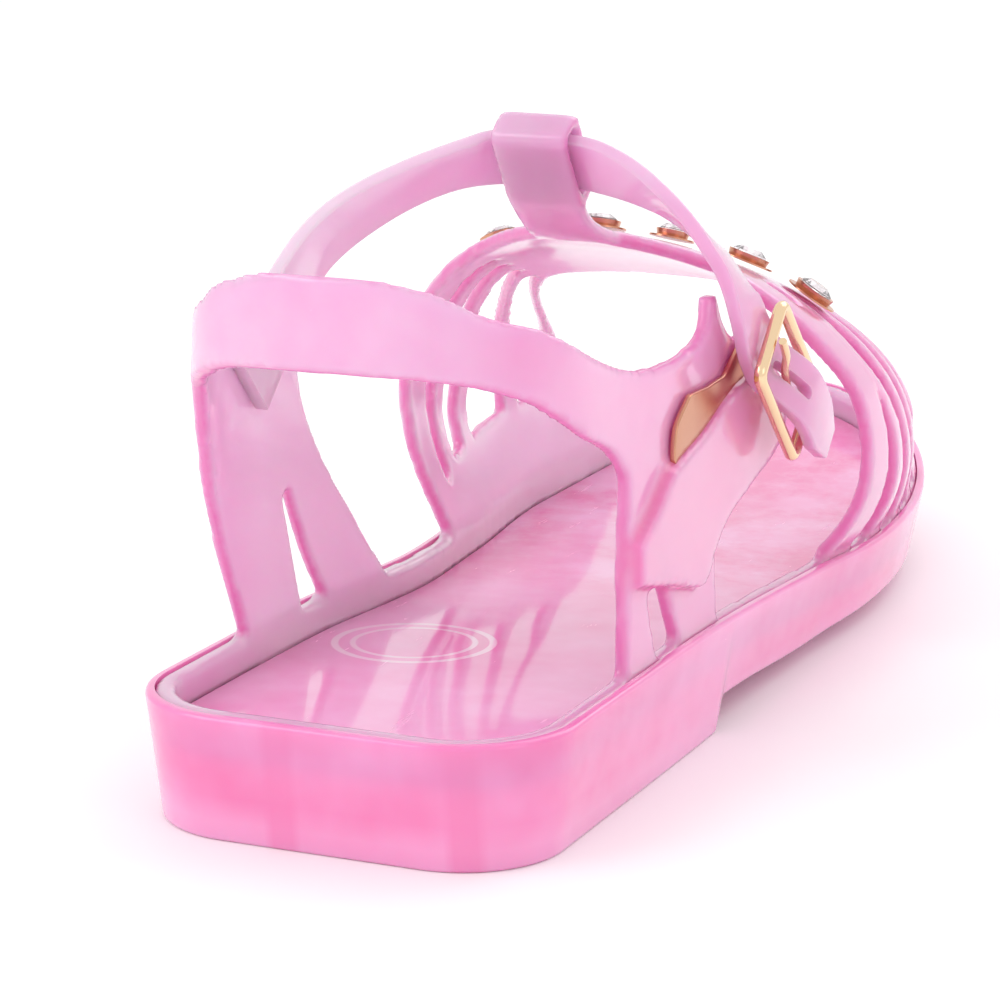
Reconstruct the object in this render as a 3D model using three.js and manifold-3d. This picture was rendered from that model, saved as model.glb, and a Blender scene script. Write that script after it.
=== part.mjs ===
// Moulded jelly sandal for a right foot, size EU 37, in millimetres.
// X points to the outer side of the foot, Y to the toe and Z up. The heel's back is at y = 0.

import * as THREE from 'three';
import { mergeVertices } from 'three/addons/utils/BufferGeometryUtils.js';
import Module from 'manifold-3d';

// Driving sizes of the sole
const soleLength = 250;
const heelHalfWidth = 35.8;
const heelCornerRadius = 19;
const ballOuterWidth = 38;
const ballInnerWidth = 42.4;
const toeTipAcross = -13;
const heelRimHeight = 20.6;
const foreRimHeight = 16.8;
const toeSpring = 8;
const heelLength = 84;
const breastLength = 4;
const archRise = 5.5;
const sideEdgeRise = 3.8;
const crownInset = 15;
const sideDraft = 2.3;
const edgeRounding = 1.2;

// Driving sizes of the footbed
const rimLipWidth = 1.5;
const flangeWidth = 3.1;
const footbedDrop = 5;
const insoleThickness = 1.2;
const clearance = 0.3;

// Driving sizes of the hollow underside
const plateThickness = 3;
const hollowWall = 6.5;
const pegDiameter = 5.5;
const pegSpacing = 29;
const pegFromBack = 24;
const pegLift = 3.5;
const pocketDepth = 3.5;
const pocketRibWidth = 6;
const pocketRows = 4;
const pocketColumns = 3;

// Driving sizes of the upper
const wallThickness = 2.6;
const bandThickness = 2.4;
const backStrapTop = 89;
const strapHeelHalfWidth = 32;
const instepHeight = 77.5;
const lastFullness = 2.4;

// Driving sizes of the ankle strap, its loop and its buckle
const ankleStrapWidth = 10.6;
const ankleStrapThickness = 2.4;
const ankleStrapTop = 93.8;
const loopLength = 13.6;
const loopWall = 1.8;
const tBarWidth = 13.2;
const buckleLength = 26.5;
const buckleWidth = 17;
const buckleWire = 2.2;
const prongDiameter = 1.4;
const buckleStandOff = 7;
const claspThickness = 1;

// Driving sizes of the row of stones
const largeStone = 6.4;
const smallStone = 4.8;
const settingWall = 0.6;
const settingHeight = 1.5;
const settingBrim = 1.6;
const stoneCrown = 1.1;

const half = 0.5;

const wasm = await Module();
wasm.setup();

// Turn a closed three.js geometry into a solid that can be joined and cut
function solidOf(geometry) {
  const bare = geometry.clone();
  bare.deleteAttribute('normal');
  bare.deleteAttribute('uv');
  const merged = mergeVertices(bare, 1e-5);
  const vertProperties = new Float32Array(merged.attributes.position.array);
  const triVerts = new Uint32Array(merged.index.array);
  return new wasm.Manifold(new wasm.Mesh({ numProp: 3, vertProperties, triVerts }));
}

// Turn a solid back into a three.js geometry
function geometryOf(solid) {
  const mesh = solid.getMesh();
  const geometry = new THREE.BufferGeometry();
  geometry.setAttribute('position', new THREE.BufferAttribute(mesh.vertProperties.slice(), 3));
  geometry.setIndex(new THREE.BufferAttribute(mesh.triVerts.slice(), 1));
  geometry.computeVertexNormals();
  return geometry;
}

function join(solids) {
  return solids.reduce((sum, next) => sum.add(next));
}

function ease(from, to, at) {
  const share = THREE.MathUtils.clamp((at - from) / (to - from), 0, 1);
  return share * share * (3 - 2 * share);
}

// Read one column of a table smoothly between its rows
function readTable(rows, at, place, column) {
  const last = rows.length - 1;
  if (at <= rows[0][place]) return rows[0][column];
  if (at >= rows[last][place]) return rows[last][column];
  const next = rows.findIndex((row) => row[place] > at);
  const before = rows[Math.max(next - 2, 0)];
  const start = rows[next - 1];
  const end = rows[next];
  const after = rows[Math.min(next + 1, last)];
  const span = end[place] - start[place];
  const share = (at - start[place]) / span;
  const startSlope = next - 1 === 0 ? 0 : (end[column] - before[column]) / (end[place] - before[place]);
  const endSlope = next === last ? 0 : (after[column] - start[column]) / (after[place] - start[place]);
  const square = share * share;
  const cube = square * share;
  return (2 * cube - 3 * square + 1) * start[column]
    + (cube - 2 * square + share) * span * startSlope
    + (3 * square - 2 * cube) * end[column]
    + (cube - square) * span * endSlope;
}

// Half widths of the sole: shares of the heel's half width and of the ball's width on that side
const outerEdgeRows = [
  { along: 0.076, heel: 1, ball: 0 },
  { along: 0.24, heel: 1.005, ball: 0 },
  { along: 0.4, heel: 0.5, ball: 0.475 },
  { along: 0.53, heel: 0.2, ball: 0.775 },
  { along: 0.63, heel: 0, ball: 1 },
];
const innerEdgeRows = [
  { along: 0.076, heel: 1, ball: 0 },
  { along: 0.24, heel: 0.985, ball: 0 },
  { along: 0.4, heel: 0.6, ball: 0.285 },
  { along: 0.53, heel: 0.2, ball: 0.715 },
  { along: 0.7, heel: 0, ball: 1 },
];
const toeFullness = 2.1;

// Half width of the sole at a distance from the heel, on the outer (1) or inner (-1) side
function edgeAcross(y, side) {
  const rows = side > 0 ? outerEdgeRows : innerEdgeRows;
  const ball = side > 0 ? ballOuterWidth : ballInnerWidth;
  const ballAlong = rows[rows.length - 1].along * soleLength;
  if (y < heelCornerRadius) {
    const rise = 1 - Math.max(y, 0) / heelCornerRadius;
    return side * (heelHalfWidth - heelCornerRadius * (1 - Math.sqrt(1 - rise * rise)));
  }
  if (y <= ballAlong) {
    const heelShare = readTable(rows, y / soleLength, 'along', 'heel');
    const ballShare = readTable(rows, y / soleLength, 'along', 'ball');
    return side * (heelShare * heelHalfWidth + ballShare * ball);
  }
  const reach = Math.min((y - ballAlong) / (soleLength - ballAlong), 1);
  const spread = (1 - reach ** toeFullness) ** (1 / toeFullness);
  return toeTipAcross + (side * ball - toeTipAcross) * spread;
}

const cornerSteps = 5;
const sideStep = 9;
const toeSteps = 9;

// Distances from the heel at which the sole is divided, close together at its round ends
function soleStations() {
  const stations = [];
  for (let i = 0; i < cornerSteps; i += 1) {
    stations.push(heelCornerRadius * (1 - Math.cos((i / cornerSteps) * Math.PI * half)));
  }
  const ballStart = 0.7 * soleLength;
  const sideCount = Math.round((ballStart - heelCornerRadius) / sideStep);
  for (let i = 0; i < sideCount; i += 1) {
    stations.push(heelCornerRadius + ((ballStart - heelCornerRadius) * i) / sideCount);
  }
  stations.push(heelLength, heelLength + breastLength);
  for (let i = 0; i < toeSteps; i += 1) {
    stations.push(ballStart + (soleLength - ballStart) * Math.sin((i / toeSteps) * Math.PI * half));
  }
  stations.push(soleLength - 0.25);
  return stations.sort((a, b) => a - b);
}

const stations = soleStations();

// Height of the sole's rim
function rimHeight(y) {
  const fall = ease(0.24 * soleLength, 0.66 * soleLength, y);
  const spring = toeLift(y);
  return heelRimHeight + (foreRimHeight - heelRimHeight) * fall + spring;
}

function toeLift(y) {
  const share = Math.max(y - 0.72 * soleLength, 0) / (0.28 * soleLength);
  return toeSpring * share ** 2;
}

function footbedHeight(y) {
  return rimHeight(y) - footbedDrop;
}

function trayHeight(y) {
  return footbedHeight(y) - insoleThickness - clearance;
}

// Height of the underside at its edge and in its middle
function undersideEdge(y) {
  const step = ease(heelLength, heelLength + breastLength, y);
  const settle = ease(heelLength + breastLength, 0.52 * soleLength, y);
  return step * (archRise + (sideEdgeRise - archRise) * settle) + toeLift(y);
}

function undersideMiddle(y) {
  const step = ease(heelLength, heelLength + breastLength, y);
  const settle = ease(heelLength + breastLength, 0.54 * soleLength, y);
  return step * archRise * (1 - settle) + toeLift(y);
}

// One ring around the sole's outline, moved inwards and set at a height
function soleRing(inset, heightAt) {
  const outer = stations.map((y) => new THREE.Vector2(edgeAcross(y, 1), y));
  const inner = stations.map((y) => new THREE.Vector2(edgeAcross(y, -1), y)).reverse();
  const loop = [...outer, ...inner];
  const count = loop.length;
  return loop.map((point, i) => {
    const ahead = loop[(i + 1) % count];
    const behind = loop[(i + count - 1) % count];
    const run = ahead.clone().sub(point).normalize().add(point.clone().sub(behind).normalize()).normalize();
    const x = point.x - run.y * inset;
    const y = point.y + run.x * inset;
    return new THREE.Vector3(x, y, heightAt(point.y));
  });
}

// Skin a stack of rings, lowest first, and close it with strips from side to side
function ringSolid(rings) {
  const count = rings[0].length;
  const positions = rings.flat().flatMap((point) => [point.x, point.y, point.z]);
  const index = [];
  for (let r = 0; r + 1 < rings.length; r += 1) {
    for (let i = 0; i < count; i += 1) {
      const a = r * count + i;
      const b = r * count + ((i + 1) % count);
      index.push(a, b, b + count, a, b + count, a + count);
    }
  }
  const top = (rings.length - 1) * count;
  for (let i = 0; i + 1 < count * half; i += 1) {
    const j = count - 1 - i;
    index.push(i, j, j - 1, i, j - 1, i + 1);
    index.push(top + i, top + j - 1, top + j, top + i, top + i + 1, top + j - 1);
  }
  return solidFromIndex(positions, index);
}

function solidFromIndex(positions, index) {
  const geometry = new THREE.BufferGeometry();
  geometry.setAttribute('position', new THREE.BufferAttribute(new Float32Array(positions), 3));
  geometry.setIndex(index);
  return solidOf(geometry);
}

function boxSolid(low, high) {
  const geometry = new THREE.BoxGeometry(high.x - low.x, high.y - low.y, high.z - low.z);
  const middle = low.clone().add(high).multiplyScalar(half);
  geometry.translate(middle.x, middle.y, middle.z);
  return solidOf(geometry);
}

// A closed sheet between an outer and an inner grid of points, rows along it and columns across
function sheetSolid(outerGrid, innerGrid) {
  const rowCount = outerGrid.length;
  const columnCount = outerGrid[0].length;
  const positions = [...outerGrid.flat(), ...innerGrid.flat()].flatMap((p) => [p.x, p.y, p.z]);
  const shift = rowCount * columnCount;
  const index = [];
  const quad = (a, b, c, d) => index.push(a, b, c, a, c, d);
  for (let r = 0; r + 1 < rowCount; r += 1) {
    for (let c = 0; c + 1 < columnCount; c += 1) {
      const a = r * columnCount + c;
      const d = a + columnCount;
      quad(a, a + 1, d + 1, d);
      quad(shift + a, shift + d, shift + d + 1, shift + a + 1);
    }
    const left = r * columnCount;
    const right = left + columnCount - 1;
    quad(left, left + columnCount, shift + left + columnCount, shift + left);
    quad(right + columnCount, right, shift + right, shift + right + columnCount);
  }
  const end = (rowCount - 1) * columnCount;
  for (let c = 0; c + 1 < columnCount; c += 1) {
    quad(c + 1, c, shift + c, shift + c + 1);
    quad(end + c, end + c + 1, shift + end + c + 1, shift + end + c);
  }
  const solid = solidFromIndex(positions, index);
  if (solid.volume() > 0) return solid;
  for (let i = 0; i < index.length; i += 3) {
    [index[i + 1], index[i + 2]] = [index[i + 2], index[i + 1]];
  }
  return solidFromIndex(positions, index);
}

// The sole: one moulding with a tray for the footbed, a hollow heel and a ribbed forefoot
function makeSole() {
  const shell = ringSolid([
    soleRing(crownInset, undersideMiddle),
    soleRing(sideDraft + edgeRounding, undersideEdge),
    soleRing(sideDraft, (y) => undersideEdge(y) + edgeRounding),
    soleRing(0, (y) => rimHeight(y) - edgeRounding),
    soleRing(edgeRounding * half, rimHeight),
  ]);
  const tray = ringSolid([
    soleRing(rimLipWidth, trayHeight),
    soleRing(rimLipWidth, (y) => rimHeight(y) + 2),
  ]);
  const hollow = ringSolid([
    soleRing(hollowWall, (y) => undersideMiddle(y) - 2),
    soleRing(hollowWall, (y) => trayHeight(y) - plateThickness),
  ]);
  const below = -2;
  const heelRoom = boxSolid(
    new THREE.Vector3(-ballInnerWidth, below, below),
    new THREE.Vector3(ballOuterWidth, heelLength - hollowWall, heelRimHeight),
  );
  const pegs = [-1, 1].map((side) => {
    const length = heelRimHeight - pegLift;
    const peg = new THREE.CylinderGeometry(pegDiameter * half, pegDiameter * half, length, 12);
    peg.rotateX(Math.PI * half);
    peg.translate(side * pegSpacing * half, pegFromBack, pegLift + length * half);
    return solidOf(peg);
  });
  const heelHollow = pegs.reduce((room, peg) => room.subtract(peg), hollow.intersect(heelRoom));
  return shell.subtract(tray).subtract(heelHollow).subtract(makePockets());
}

// Shallow pockets between the ribs of the forefoot's tread
function makePockets() {
  const start = 0.58 * soleLength;
  const end = 0.86 * soleLength;
  const left = -0.66 * ballInnerWidth;
  const right = 0.6 * ballOuterWidth;
  const pitchAlong = (end - start) / pocketRows;
  const pitchAcross = (right - left) / pocketColumns;
  const pockets = [];
  for (let row = 0; row < pocketRows; row += 1) {
    for (let column = 0; column < pocketColumns; column += 1) {
      const low = new THREE.Vector3(
        left + column * pitchAcross + pocketRibWidth * half,
        start + row * pitchAlong + pocketRibWidth * half,
        -2,
      );
      const high = new THREE.Vector3(
        left + (column + 1) * pitchAcross - pocketRibWidth * half,
        start + (row + 1) * pitchAlong - pocketRibWidth * half,
        toeLift(start + (row + half) * pitchAlong) + pocketDepth,
      );
      pockets.push(boxSolid(low, high));
    }
  }
  return join(pockets);
}

// The footbed sheet that lies in the tray, inside the upper's flange
function makeInsole() {
  const inset = rimLipWidth + clearance + flangeWidth + clearance;
  const bevel = 0.3;
  return ringSolid([
    soleRing(inset, (y) => trayHeight(y) + clearance),
    soleRing(inset, (y) => footbedHeight(y) - bevel),
    soleRing(inset + bevel, footbedHeight),
  ]);
}

// The flange under the upper, which stands in the tray along the rim
function makeFlange() {
  const outer = rimLipWidth + clearance;
  const body = ringSolid([
    soleRing(outer, (y) => trayHeight(y) + clearance),
    soleRing(outer, (y) => rimHeight(y) - edgeRounding * half),
    soleRing(outer + edgeRounding * half, rimHeight),
  ]);
  const room = ringSolid([
    soleRing(outer + flangeWidth, (y) => trayHeight(y) - 2),
    soleRing(outer + flangeWidth, (y) => rimHeight(y) + 2),
  ]);
  return body.subtract(room);
}

// The last under the vamp: crown height as a share of the instep, widths as shares of the ball
const lastRows = [
  { along: 0.38, crown: 1.05, inner: 0.89, outer: 1.05, innerWidest: 0.62, outerWidest: 0.52 },
  { along: 0.46, crown: 1.005, inner: 0.915, outer: 1.13, innerWidest: 0.585, outerWidest: 0.5 },
  { along: 0.54, crown: 0.93, inner: 0.985, outer: 1.155, innerWidest: 0.5, outerWidest: 0.48 },
  { along: 0.62, crown: 0.84, inner: 1.03, outer: 1.125, innerWidest: 0.45, outerWidest: 0.44 },
  { along: 0.72, crown: 0.72, inner: 1.02, outer: 0.975, innerWidest: 0.4, outerWidest: 0.39 },
  { along: 0.82, crown: 0.605, inner: 0.94, outer: 0.78, innerWidest: 0.36, outerWidest: 0.35 },
];
const crownAcross = -2.5;
const archGirth = 0.72;
const footGirth = 0.95;
const innerFootCurve = 1.3;
const outerFootCurve = 2;

// A point of the vamp's outer face: y from the heel, girth from -1 inner foot over 0 crown to 1
function lastPoint(y, girth) {
  const along = y / soleLength;
  const side = Math.sign(girth) || 1;
  const turn = Math.abs(girth);
  const widestRow = side > 0 ? 'outerWidest' : 'innerWidest';
  const widest = readTable(lastRows, along, 'along', widestRow) * instepHeight;
  const crown = readTable(lastRows, along, 'along', 'crown') * instepHeight;
  const reach = side > 0
    ? readTable(lastRows, along, 'along', 'outer') * ballOuterWidth
    : readTable(lastRows, along, 'along', 'inner') * ballInnerWidth;
  if (turn <= archGirth) {
    const angle = (turn / archGirth) * Math.PI * half;
    const sine = Math.sin(angle);
    const cosine = Math.cos(angle);
    const radius = 1 / (sine ** lastFullness + cosine ** lastFullness) ** (1 / lastFullness);
    const x = crownAcross + (side * reach - crownAcross) * sine * radius;
    return new THREE.Vector3(x, y, widest + (crown - widest) * cosine * radius);
  }
  const footAcross = edgeAcross(y, side) - side * (rimLipWidth + clearance + (flangeWidth - wallThickness) * half);
  const rim = rimHeight(y) + clearance;
  if (turn > footGirth) {
    const drop = (turn - footGirth) / (1 - footGirth);
    return new THREE.Vector3(footAcross, y, rim - drop * footbedDrop * half);
  }
  const fall = (turn - archGirth) / (footGirth - archGirth);
  const footCurve = side > 0 ? outerFootCurve : innerFootCurve;
  const x = side * reach + (footAcross - side * reach) * fall ** footCurve;
  return new THREE.Vector3(x, y, widest + (rim - widest) * fall);
}

function lastNormal(y, girth) {
  const step = 0.5;
  const turn = 0.01;
  const low = Math.max(girth - turn, -1);
  const high = Math.min(girth + turn, 1);
  const forward = lastPoint(y + step, girth).sub(lastPoint(y - step, girth));
  const around = lastPoint(y, high).sub(lastPoint(y, low));
  return around.cross(forward).normalize();
}

// A strip of the vamp: rows of girth with the places of its rear and front edges
function lastStrip(rows, steps, columns) {
  const first = rows[0].girth;
  const last = rows[rows.length - 1].girth;
  const foot = Math.sign(last) * footGirth;
  const reachesFoot = Math.abs(last) > footGirth;
  const end = reachesFoot ? foot : last;
  const girths = Array.from({ length: steps + 1 }, (_, i) => first + ((end - first) * i) / steps);
  if (reachesFoot) girths.push(last);
  const order = rows.map((row) => ({ ...row, place: (row.girth - first) / (last - first) }));
  const outerGrid = [];
  const innerGrid = [];
  girths.forEach((girth) => {
    const place = (girth - first) / (last - first);
    const rear = readTable(order, place, 'place', 'rear') * soleLength;
    const front = readTable(order, place, 'place', 'front') * soleLength;
    const outerRow = [];
    const innerRow = [];
    for (let c = 0; c <= columns; c += 1) {
      const y = rear + ((front - rear) * c) / columns;
      const outer = lastPoint(y, girth);
      outerRow.push(outer);
      innerRow.push(outer.clone().addScaledVector(lastNormal(y, girth), -wallThickness));
    }
    outerGrid.push(outerRow);
    innerGrid.push(innerRow);
  });
  return sheetSolid(outerGrid, innerGrid);
}

// Ribs of the vamp: places of their rear and front edges at five girths, from the panel to the foot
const outerRibGirths = [0.26, 0.45, 0.58, 0.8, 1];
const outerRibs = [
  { rear: [0.452, 0.488, 0.524, 0.538, 0.545], front: [0.49, 0.53, 0.566, 0.582, 0.592] },
  { rear: [0.502, 0.532, 0.574, 0.612, 0.628], front: [0.52, 0.553, 0.597, 0.638, 0.656] },
  { rear: [0.535, 0.58, 0.616, 0.672, 0.69], front: [0.552, 0.6, 0.638, 0.698, 0.718] },
  { rear: [0.564, 0.625, 0.662, 0.726, 0.745], front: [0.581, 0.645, 0.684, 0.752, 0.773] },
  { rear: [0.592, 0.668, 0.708, 0.78, 0.8], front: [0.612, 0.692, 0.734, 0.808, 0.83] },
];
const innerRibGirths = [-0.23, -0.45, -0.6, -0.8, -1];
const innerRibs = [
  { rear: [0.452, 0.458, 0.456, 0.452, 0.49], front: [0.484, 0.495, 0.495, 0.494, 0.535] },
  { rear: [0.49, 0.51, 0.518, 0.512, 0.54], front: [0.507, 0.53, 0.54, 0.536, 0.566] },
  { rear: [0.516, 0.55, 0.575, 0.568, 0.6], front: [0.533, 0.57, 0.598, 0.594, 0.628] },
  { rear: [0.543, 0.62, 0.66, 0.672, 0.69], front: [0.56, 0.642, 0.684, 0.7, 0.718] },
  { rear: [0.572, 0.705, 0.735, 0.745, 0.76], front: [0.592, 0.73, 0.762, 0.775, 0.79] },
];

const ribSteps = 11;

function makeRib(rib, girths) {
  const rows = girths.map((girth, i) => ({ girth, rear: rib.rear[i], front: rib.front[i] }));
  return lastStrip(rows, ribSteps, 1);
}

// The inner side's low wall: the ribs run down into it above the big toe's side of the sole
const innerSideRows = [
  { girth: -0.68, rear: 0.745, front: 0.79 },
  { girth: -0.75, rear: 0.655, front: 0.8 },
  { girth: -0.8, rear: 0.585, front: 0.81 },
  { girth: -0.84, rear: 0.52, front: 0.82 },
  { girth: -1, rear: 0.49, front: 0.83 },
];

// The panel over the instep, between the two fans of ribs
function makePanel() {
  const rows = [
    { girth: -0.27, rear: 0.448, front: 0.584 },
    { girth: -0.18, rear: 0.436, front: 0.6 },
    { girth: -0.08, rear: 0.418, front: 0.608 },
    { girth: 0.02, rear: 0.412, front: 0.61 },
    { girth: 0.12, rear: 0.43, front: 0.61 },
    { girth: 0.22, rear: 0.462, front: 0.61 },
    { girth: 0.3, rear: 0.486, front: 0.614 },
  ];
  return lastStrip(rows, 12, 6);
}

// Heights of the wall behind the vamp, as shares of the back strap's top
const wallRows = [
  { up: 0.18, side: 1, corner: 3.4, back: 0, flare: 0 },
  { up: 0.45, side: 0.6, corner: 2.9, back: 0.35, flare: 0.5 },
  { up: 0.7, side: 0.2, corner: 2.5, back: 0.8, flare: 1 },
  { up: 0.9, side: 0, corner: 2.3, back: 1, flare: 0.55 },
  { up: 1.1, side: 0, corner: 2.2, back: 1, flare: 0.1 },
];
const backStrapForward = 2.6;
const heelCentreAlong = 0.138;
const quarterFlare = 0.6;

// A point of the rear wall's outer face, at a place around it and a height
function wallPoint(place, z, inset) {
  const up = z / backStrapTop;
  const follow = readTable(wallRows, up, 'up', 'side');
  const corner = readTable(wallRows, up, 'up', 'corner');
  const forward = readTable(wallRows, up, 'up', 'back') * backStrapForward;
  const flare = readTable(wallRows, up, 'up', 'flare') * quarterFlare;
  const base = rimLipWidth + clearance + (flangeWidth - wallThickness) * half;
  const centre = heelCentreAlong * soleLength;
  const side = Math.sign(place) || 1;
  const turn = Math.abs(place);
  const backY = base + forward + inset;
  const halfWidthAt = (y) => {
    const soleSide = Math.abs(edgeAcross(Math.max(y, centre), side)) - base;
    const spread = side > 0 ? flare * ease(centre, 0.36 * soleLength, y) : 0;
    return soleSide * follow + strapHeelHalfWidth * (1 - follow) + spread - inset;
  };
  if (turn <= 1) {
    const angle = turn * Math.PI * half;
    const sine = Math.sin(angle);
    const cosine = Math.cos(angle);
    const radius = 1 / (sine ** corner + cosine ** corner) ** (1 / corner);
    const x = side * halfWidthAt(centre) * sine * radius;
    return new THREE.Vector3(x, centre - (centre - backY) * cosine * radius, z);
  }
  const y = centre + (turn - 1) * soleLength * 0.4;
  return new THREE.Vector3(side * halfWidthAt(y), y, z);
}

const wallBottom = heelRimHeight - footbedDrop;
const wallTop = backStrapTop + 6;

function makeWall(outerInset, innerInset) {
  const levels = 9;
  const turns = 15;
  const reach = 1.9;
  const places = [];
  for (let i = -turns; i <= turns; i += 1) {
    places.push((reach * i) / turns);
  }
  const gridAt = (inset) => {
    const grid = [];
    for (let level = 0; level <= levels; level += 1) {
      const z = wallBottom + ((wallTop - wallBottom) * level) / levels;
      grid.push(places.map((place) => wallPoint(place, z, inset)));
    }
    return grid;
  };
  return sheetSolid(gridAt(outerInset), gridAt(innerInset));
}

// Side views of the two quarters with the back strap: shares of the sole's length and strap's top
const innerQuarter = {
  outline: [
    [-0.02, 1], [0.02, 1], [0.034, 0.975], [0.052, 0.93], [0.08, 0.882], [0.13, 0.866], [0.21, 0.862],
    [0.225, 0.75], [0.235, 0.64], [0.262, 0.52], [0.31, 0.37], [0.375, 0.16],
    [0.292, 0.16], [0.246, 0.33], [0.217, 0.475], [0.209, 0.47], [0.214, 0.43], [0.226, 0.33], [0.247, 0.16],
    [0.174, 0.16], [0.15, 0.3], [0.115, 0.5], [0.092, 0.68], [0.08, 0.745],
    [0.055, 0.79], [0.03, 0.825], [-0.02, 0.845],
  ],
};
const outerQuarter = {
  outline: [
    [-0.02, 1], [0.02, 1], [0.034, 0.978], [0.052, 0.935], [0.084, 0.9], [0.124, 0.845], [0.165, 0.8],
    [0.21, 0.765], [0.295, 0.76], [0.322, 0.785], [0.33, 0.835], [0.342, 0.835], [0.352, 0.785], [0.37, 0.745],
    [0.42, 0.72], [0.456, 0.58],
    [0.441, 0.51], [0.381, 0.453], [0.336, 0.413], [0.332, 0.16],
    [0.28, 0.16], [0.246, 0.33], [0.217, 0.475], [0.21, 0.47], [0.212, 0.4], [0.23, 0.16],
    [0.173, 0.16], [0.18, 0.44], [0.183, 0.52], [0.186, 0.585], [0.166, 0.64],
    [0.12, 0.7], [0.07, 0.785], [0.035, 0.825], [-0.02, 0.845],
  ],
};
const outerBand = {
  outline: [
    [0.183, 0.395], [0.183, 0.47], [0.21, 0.51], [0.24, 0.565], [0.3, 0.61], [0.336, 0.645],
    [0.365, 0.664], [0.425, 0.66], [0.456, 0.58],
    [0.441, 0.51], [0.381, 0.453], [0.334, 0.413], [0.29, 0.32],
  ],
};

// A prism with the outline of a side view, on one side of the middle
function sidePrism(outline, side) {
  const shape = new THREE.Shape();
  outline.forEach(([along, up], i) => {
    const y = along * soleLength;
    const z = up * backStrapTop;
    if (i === 0) shape.moveTo(y, z);
    else shape.lineTo(y, z);
  });
  const depth = ballInnerWidth * 1.4;
  const prism = new THREE.ExtrudeGeometry(shape, { depth, bevelEnabled: false });
  prism.rotateY(Math.PI * half);
  prism.rotateX(Math.PI * half);
  prism.translate(side > 0 ? 0 : -depth, 0, 0);
  return solidOf(prism);
}

function makeQuarters() {
  const wall = makeWall(0, wallThickness);
  const inner = wall.intersect(sidePrism(innerQuarter.outline, -1));
  const outer = wall.intersect(sidePrism(outerQuarter.outline, 1));
  const band = makeWall(-bandThickness, 1).intersect(sidePrism(outerBand.outline, 1));
  return inner.add(outer).add(band);
}

// The loop on top of the T bar stands across the strap: its height and facing follow the ankle
const loopCentre = new THREE.Vector3(-0.8, 0.362 * soleLength, ankleStrapTop);
const loopUp = new THREE.Vector3(0, -0.565, 0.825).normalize();
const loopOut = new THREE.Vector3(0, 0.825, 0.565).normalize();
const loopSlack = 0.9;

function placeFlat(geometry, origin, right, up, out) {
  geometry.applyMatrix4(new THREE.Matrix4().makeBasis(right, up, out).setPosition(origin));
  return geometry;
}

function roundedRectangle(width, height, radius, steps) {
  const points = [];
  const corners = [
    [width * half - radius, height * half - radius, 0],
    [-width * half + radius, height * half - radius, 1],
    [-width * half + radius, -height * half + radius, 2],
    [width * half - radius, -height * half + radius, 3],
  ];
  corners.forEach(([x, y, quarter]) => {
    for (let i = 0; i <= steps; i += 1) {
      const angle = (quarter + i / steps) * Math.PI * half;
      points.push(new THREE.Vector2(x + radius * Math.cos(angle), y + radius * Math.sin(angle)));
    }
  });
  return points;
}

function makeLoop() {
  const slotHeight = ankleStrapWidth + 2 * loopSlack;
  const slotDepth = ankleStrapThickness + 2 * loopSlack;
  const outline = roundedRectangle(slotDepth + 2 * loopWall, slotHeight + 2 * loopWall, loopWall, 3);
  const shape = new THREE.Shape(outline);
  shape.holes.push(new THREE.Path(roundedRectangle(slotDepth, slotHeight, loopSlack, 2).reverse()));
  const body = new THREE.ExtrudeGeometry(shape, { depth: loopLength, bevelEnabled: false });
  body.translate(0, 0, -loopLength * half);
  return solidOf(placeFlat(body, loopCentre, loopOut, loopUp, new THREE.Vector3(1, 0, 0)));
}

// A free band through given points with a width and a facing at each
function bandSolid(rows, thickness, steps, columns) {
  const points = new THREE.CatmullRomCurve3(rows.map((row) => row.point), false, 'centripetal');
  const outerGrid = [];
  const innerGrid = [];
  for (let i = 0; i <= steps; i += 1) {
    const share = i / steps;
    const slot = Math.min(Math.floor(share * (rows.length - 1)), rows.length - 2);
    const part = share * (rows.length - 1) - slot;
    const centre = points.getPoint(share);
    const tangent = points.getTangent(share);
    const facing = rows[slot].facing.clone().lerp(rows[slot + 1].facing, part);
    facing.addScaledVector(tangent, -facing.dot(tangent)).normalize();
    const across = facing.clone().cross(tangent).normalize();
    const width = THREE.MathUtils.lerp(rows[slot].width, rows[slot + 1].width, part);
    const outerRow = [];
    const innerRow = [];
    for (let c = 0; c <= columns; c += 1) {
      const edge = centre.clone().addScaledVector(across, (c / columns - half) * width);
      outerRow.push(edge.clone().addScaledVector(facing, thickness * half));
      innerRow.push(edge.clone().addScaledVector(facing, -thickness * half));
    }
    outerGrid.push(outerRow);
    innerGrid.push(innerRow);
  }
  return sheetSolid(outerGrid, innerGrid);
}

// The T bar rises from the panel to the loop
function makeTBar() {
  const slotHalf = ankleStrapWidth * half + loopSlack;
  const loopFoot = loopCentre.clone()
    .addScaledVector(loopUp, -slotHalf - loopWall * half)
    .addScaledVector(loopOut, -ankleStrapThickness * half - loopSlack - loopWall * half);
  const inPanel = (along) => {
    const facing = lastNormal(along * soleLength, 0.02);
    const point = lastPoint(along * soleLength, 0.02).addScaledVector(facing, -wallThickness * half);
    return { point, facing, width: tBarWidth * 1.15 };
  };
  const panelRear = inPanel(0.415);
  const panelIn = inPanel(0.44);
  const bend = loopFoot.clone().lerp(panelRear.point, 0.55).add(new THREE.Vector3(0, -0.4, -0.8));
  const rows = [
    { point: loopFoot, facing: loopOut, width: tBarWidth },
    { point: bend, facing: new THREE.Vector3(0, 0.72, 0.7), width: tBarWidth * 1.02 },
    panelRear,
    panelIn,
  ];
  return bandSolid(rows, wallThickness, 12, 2);
}

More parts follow.
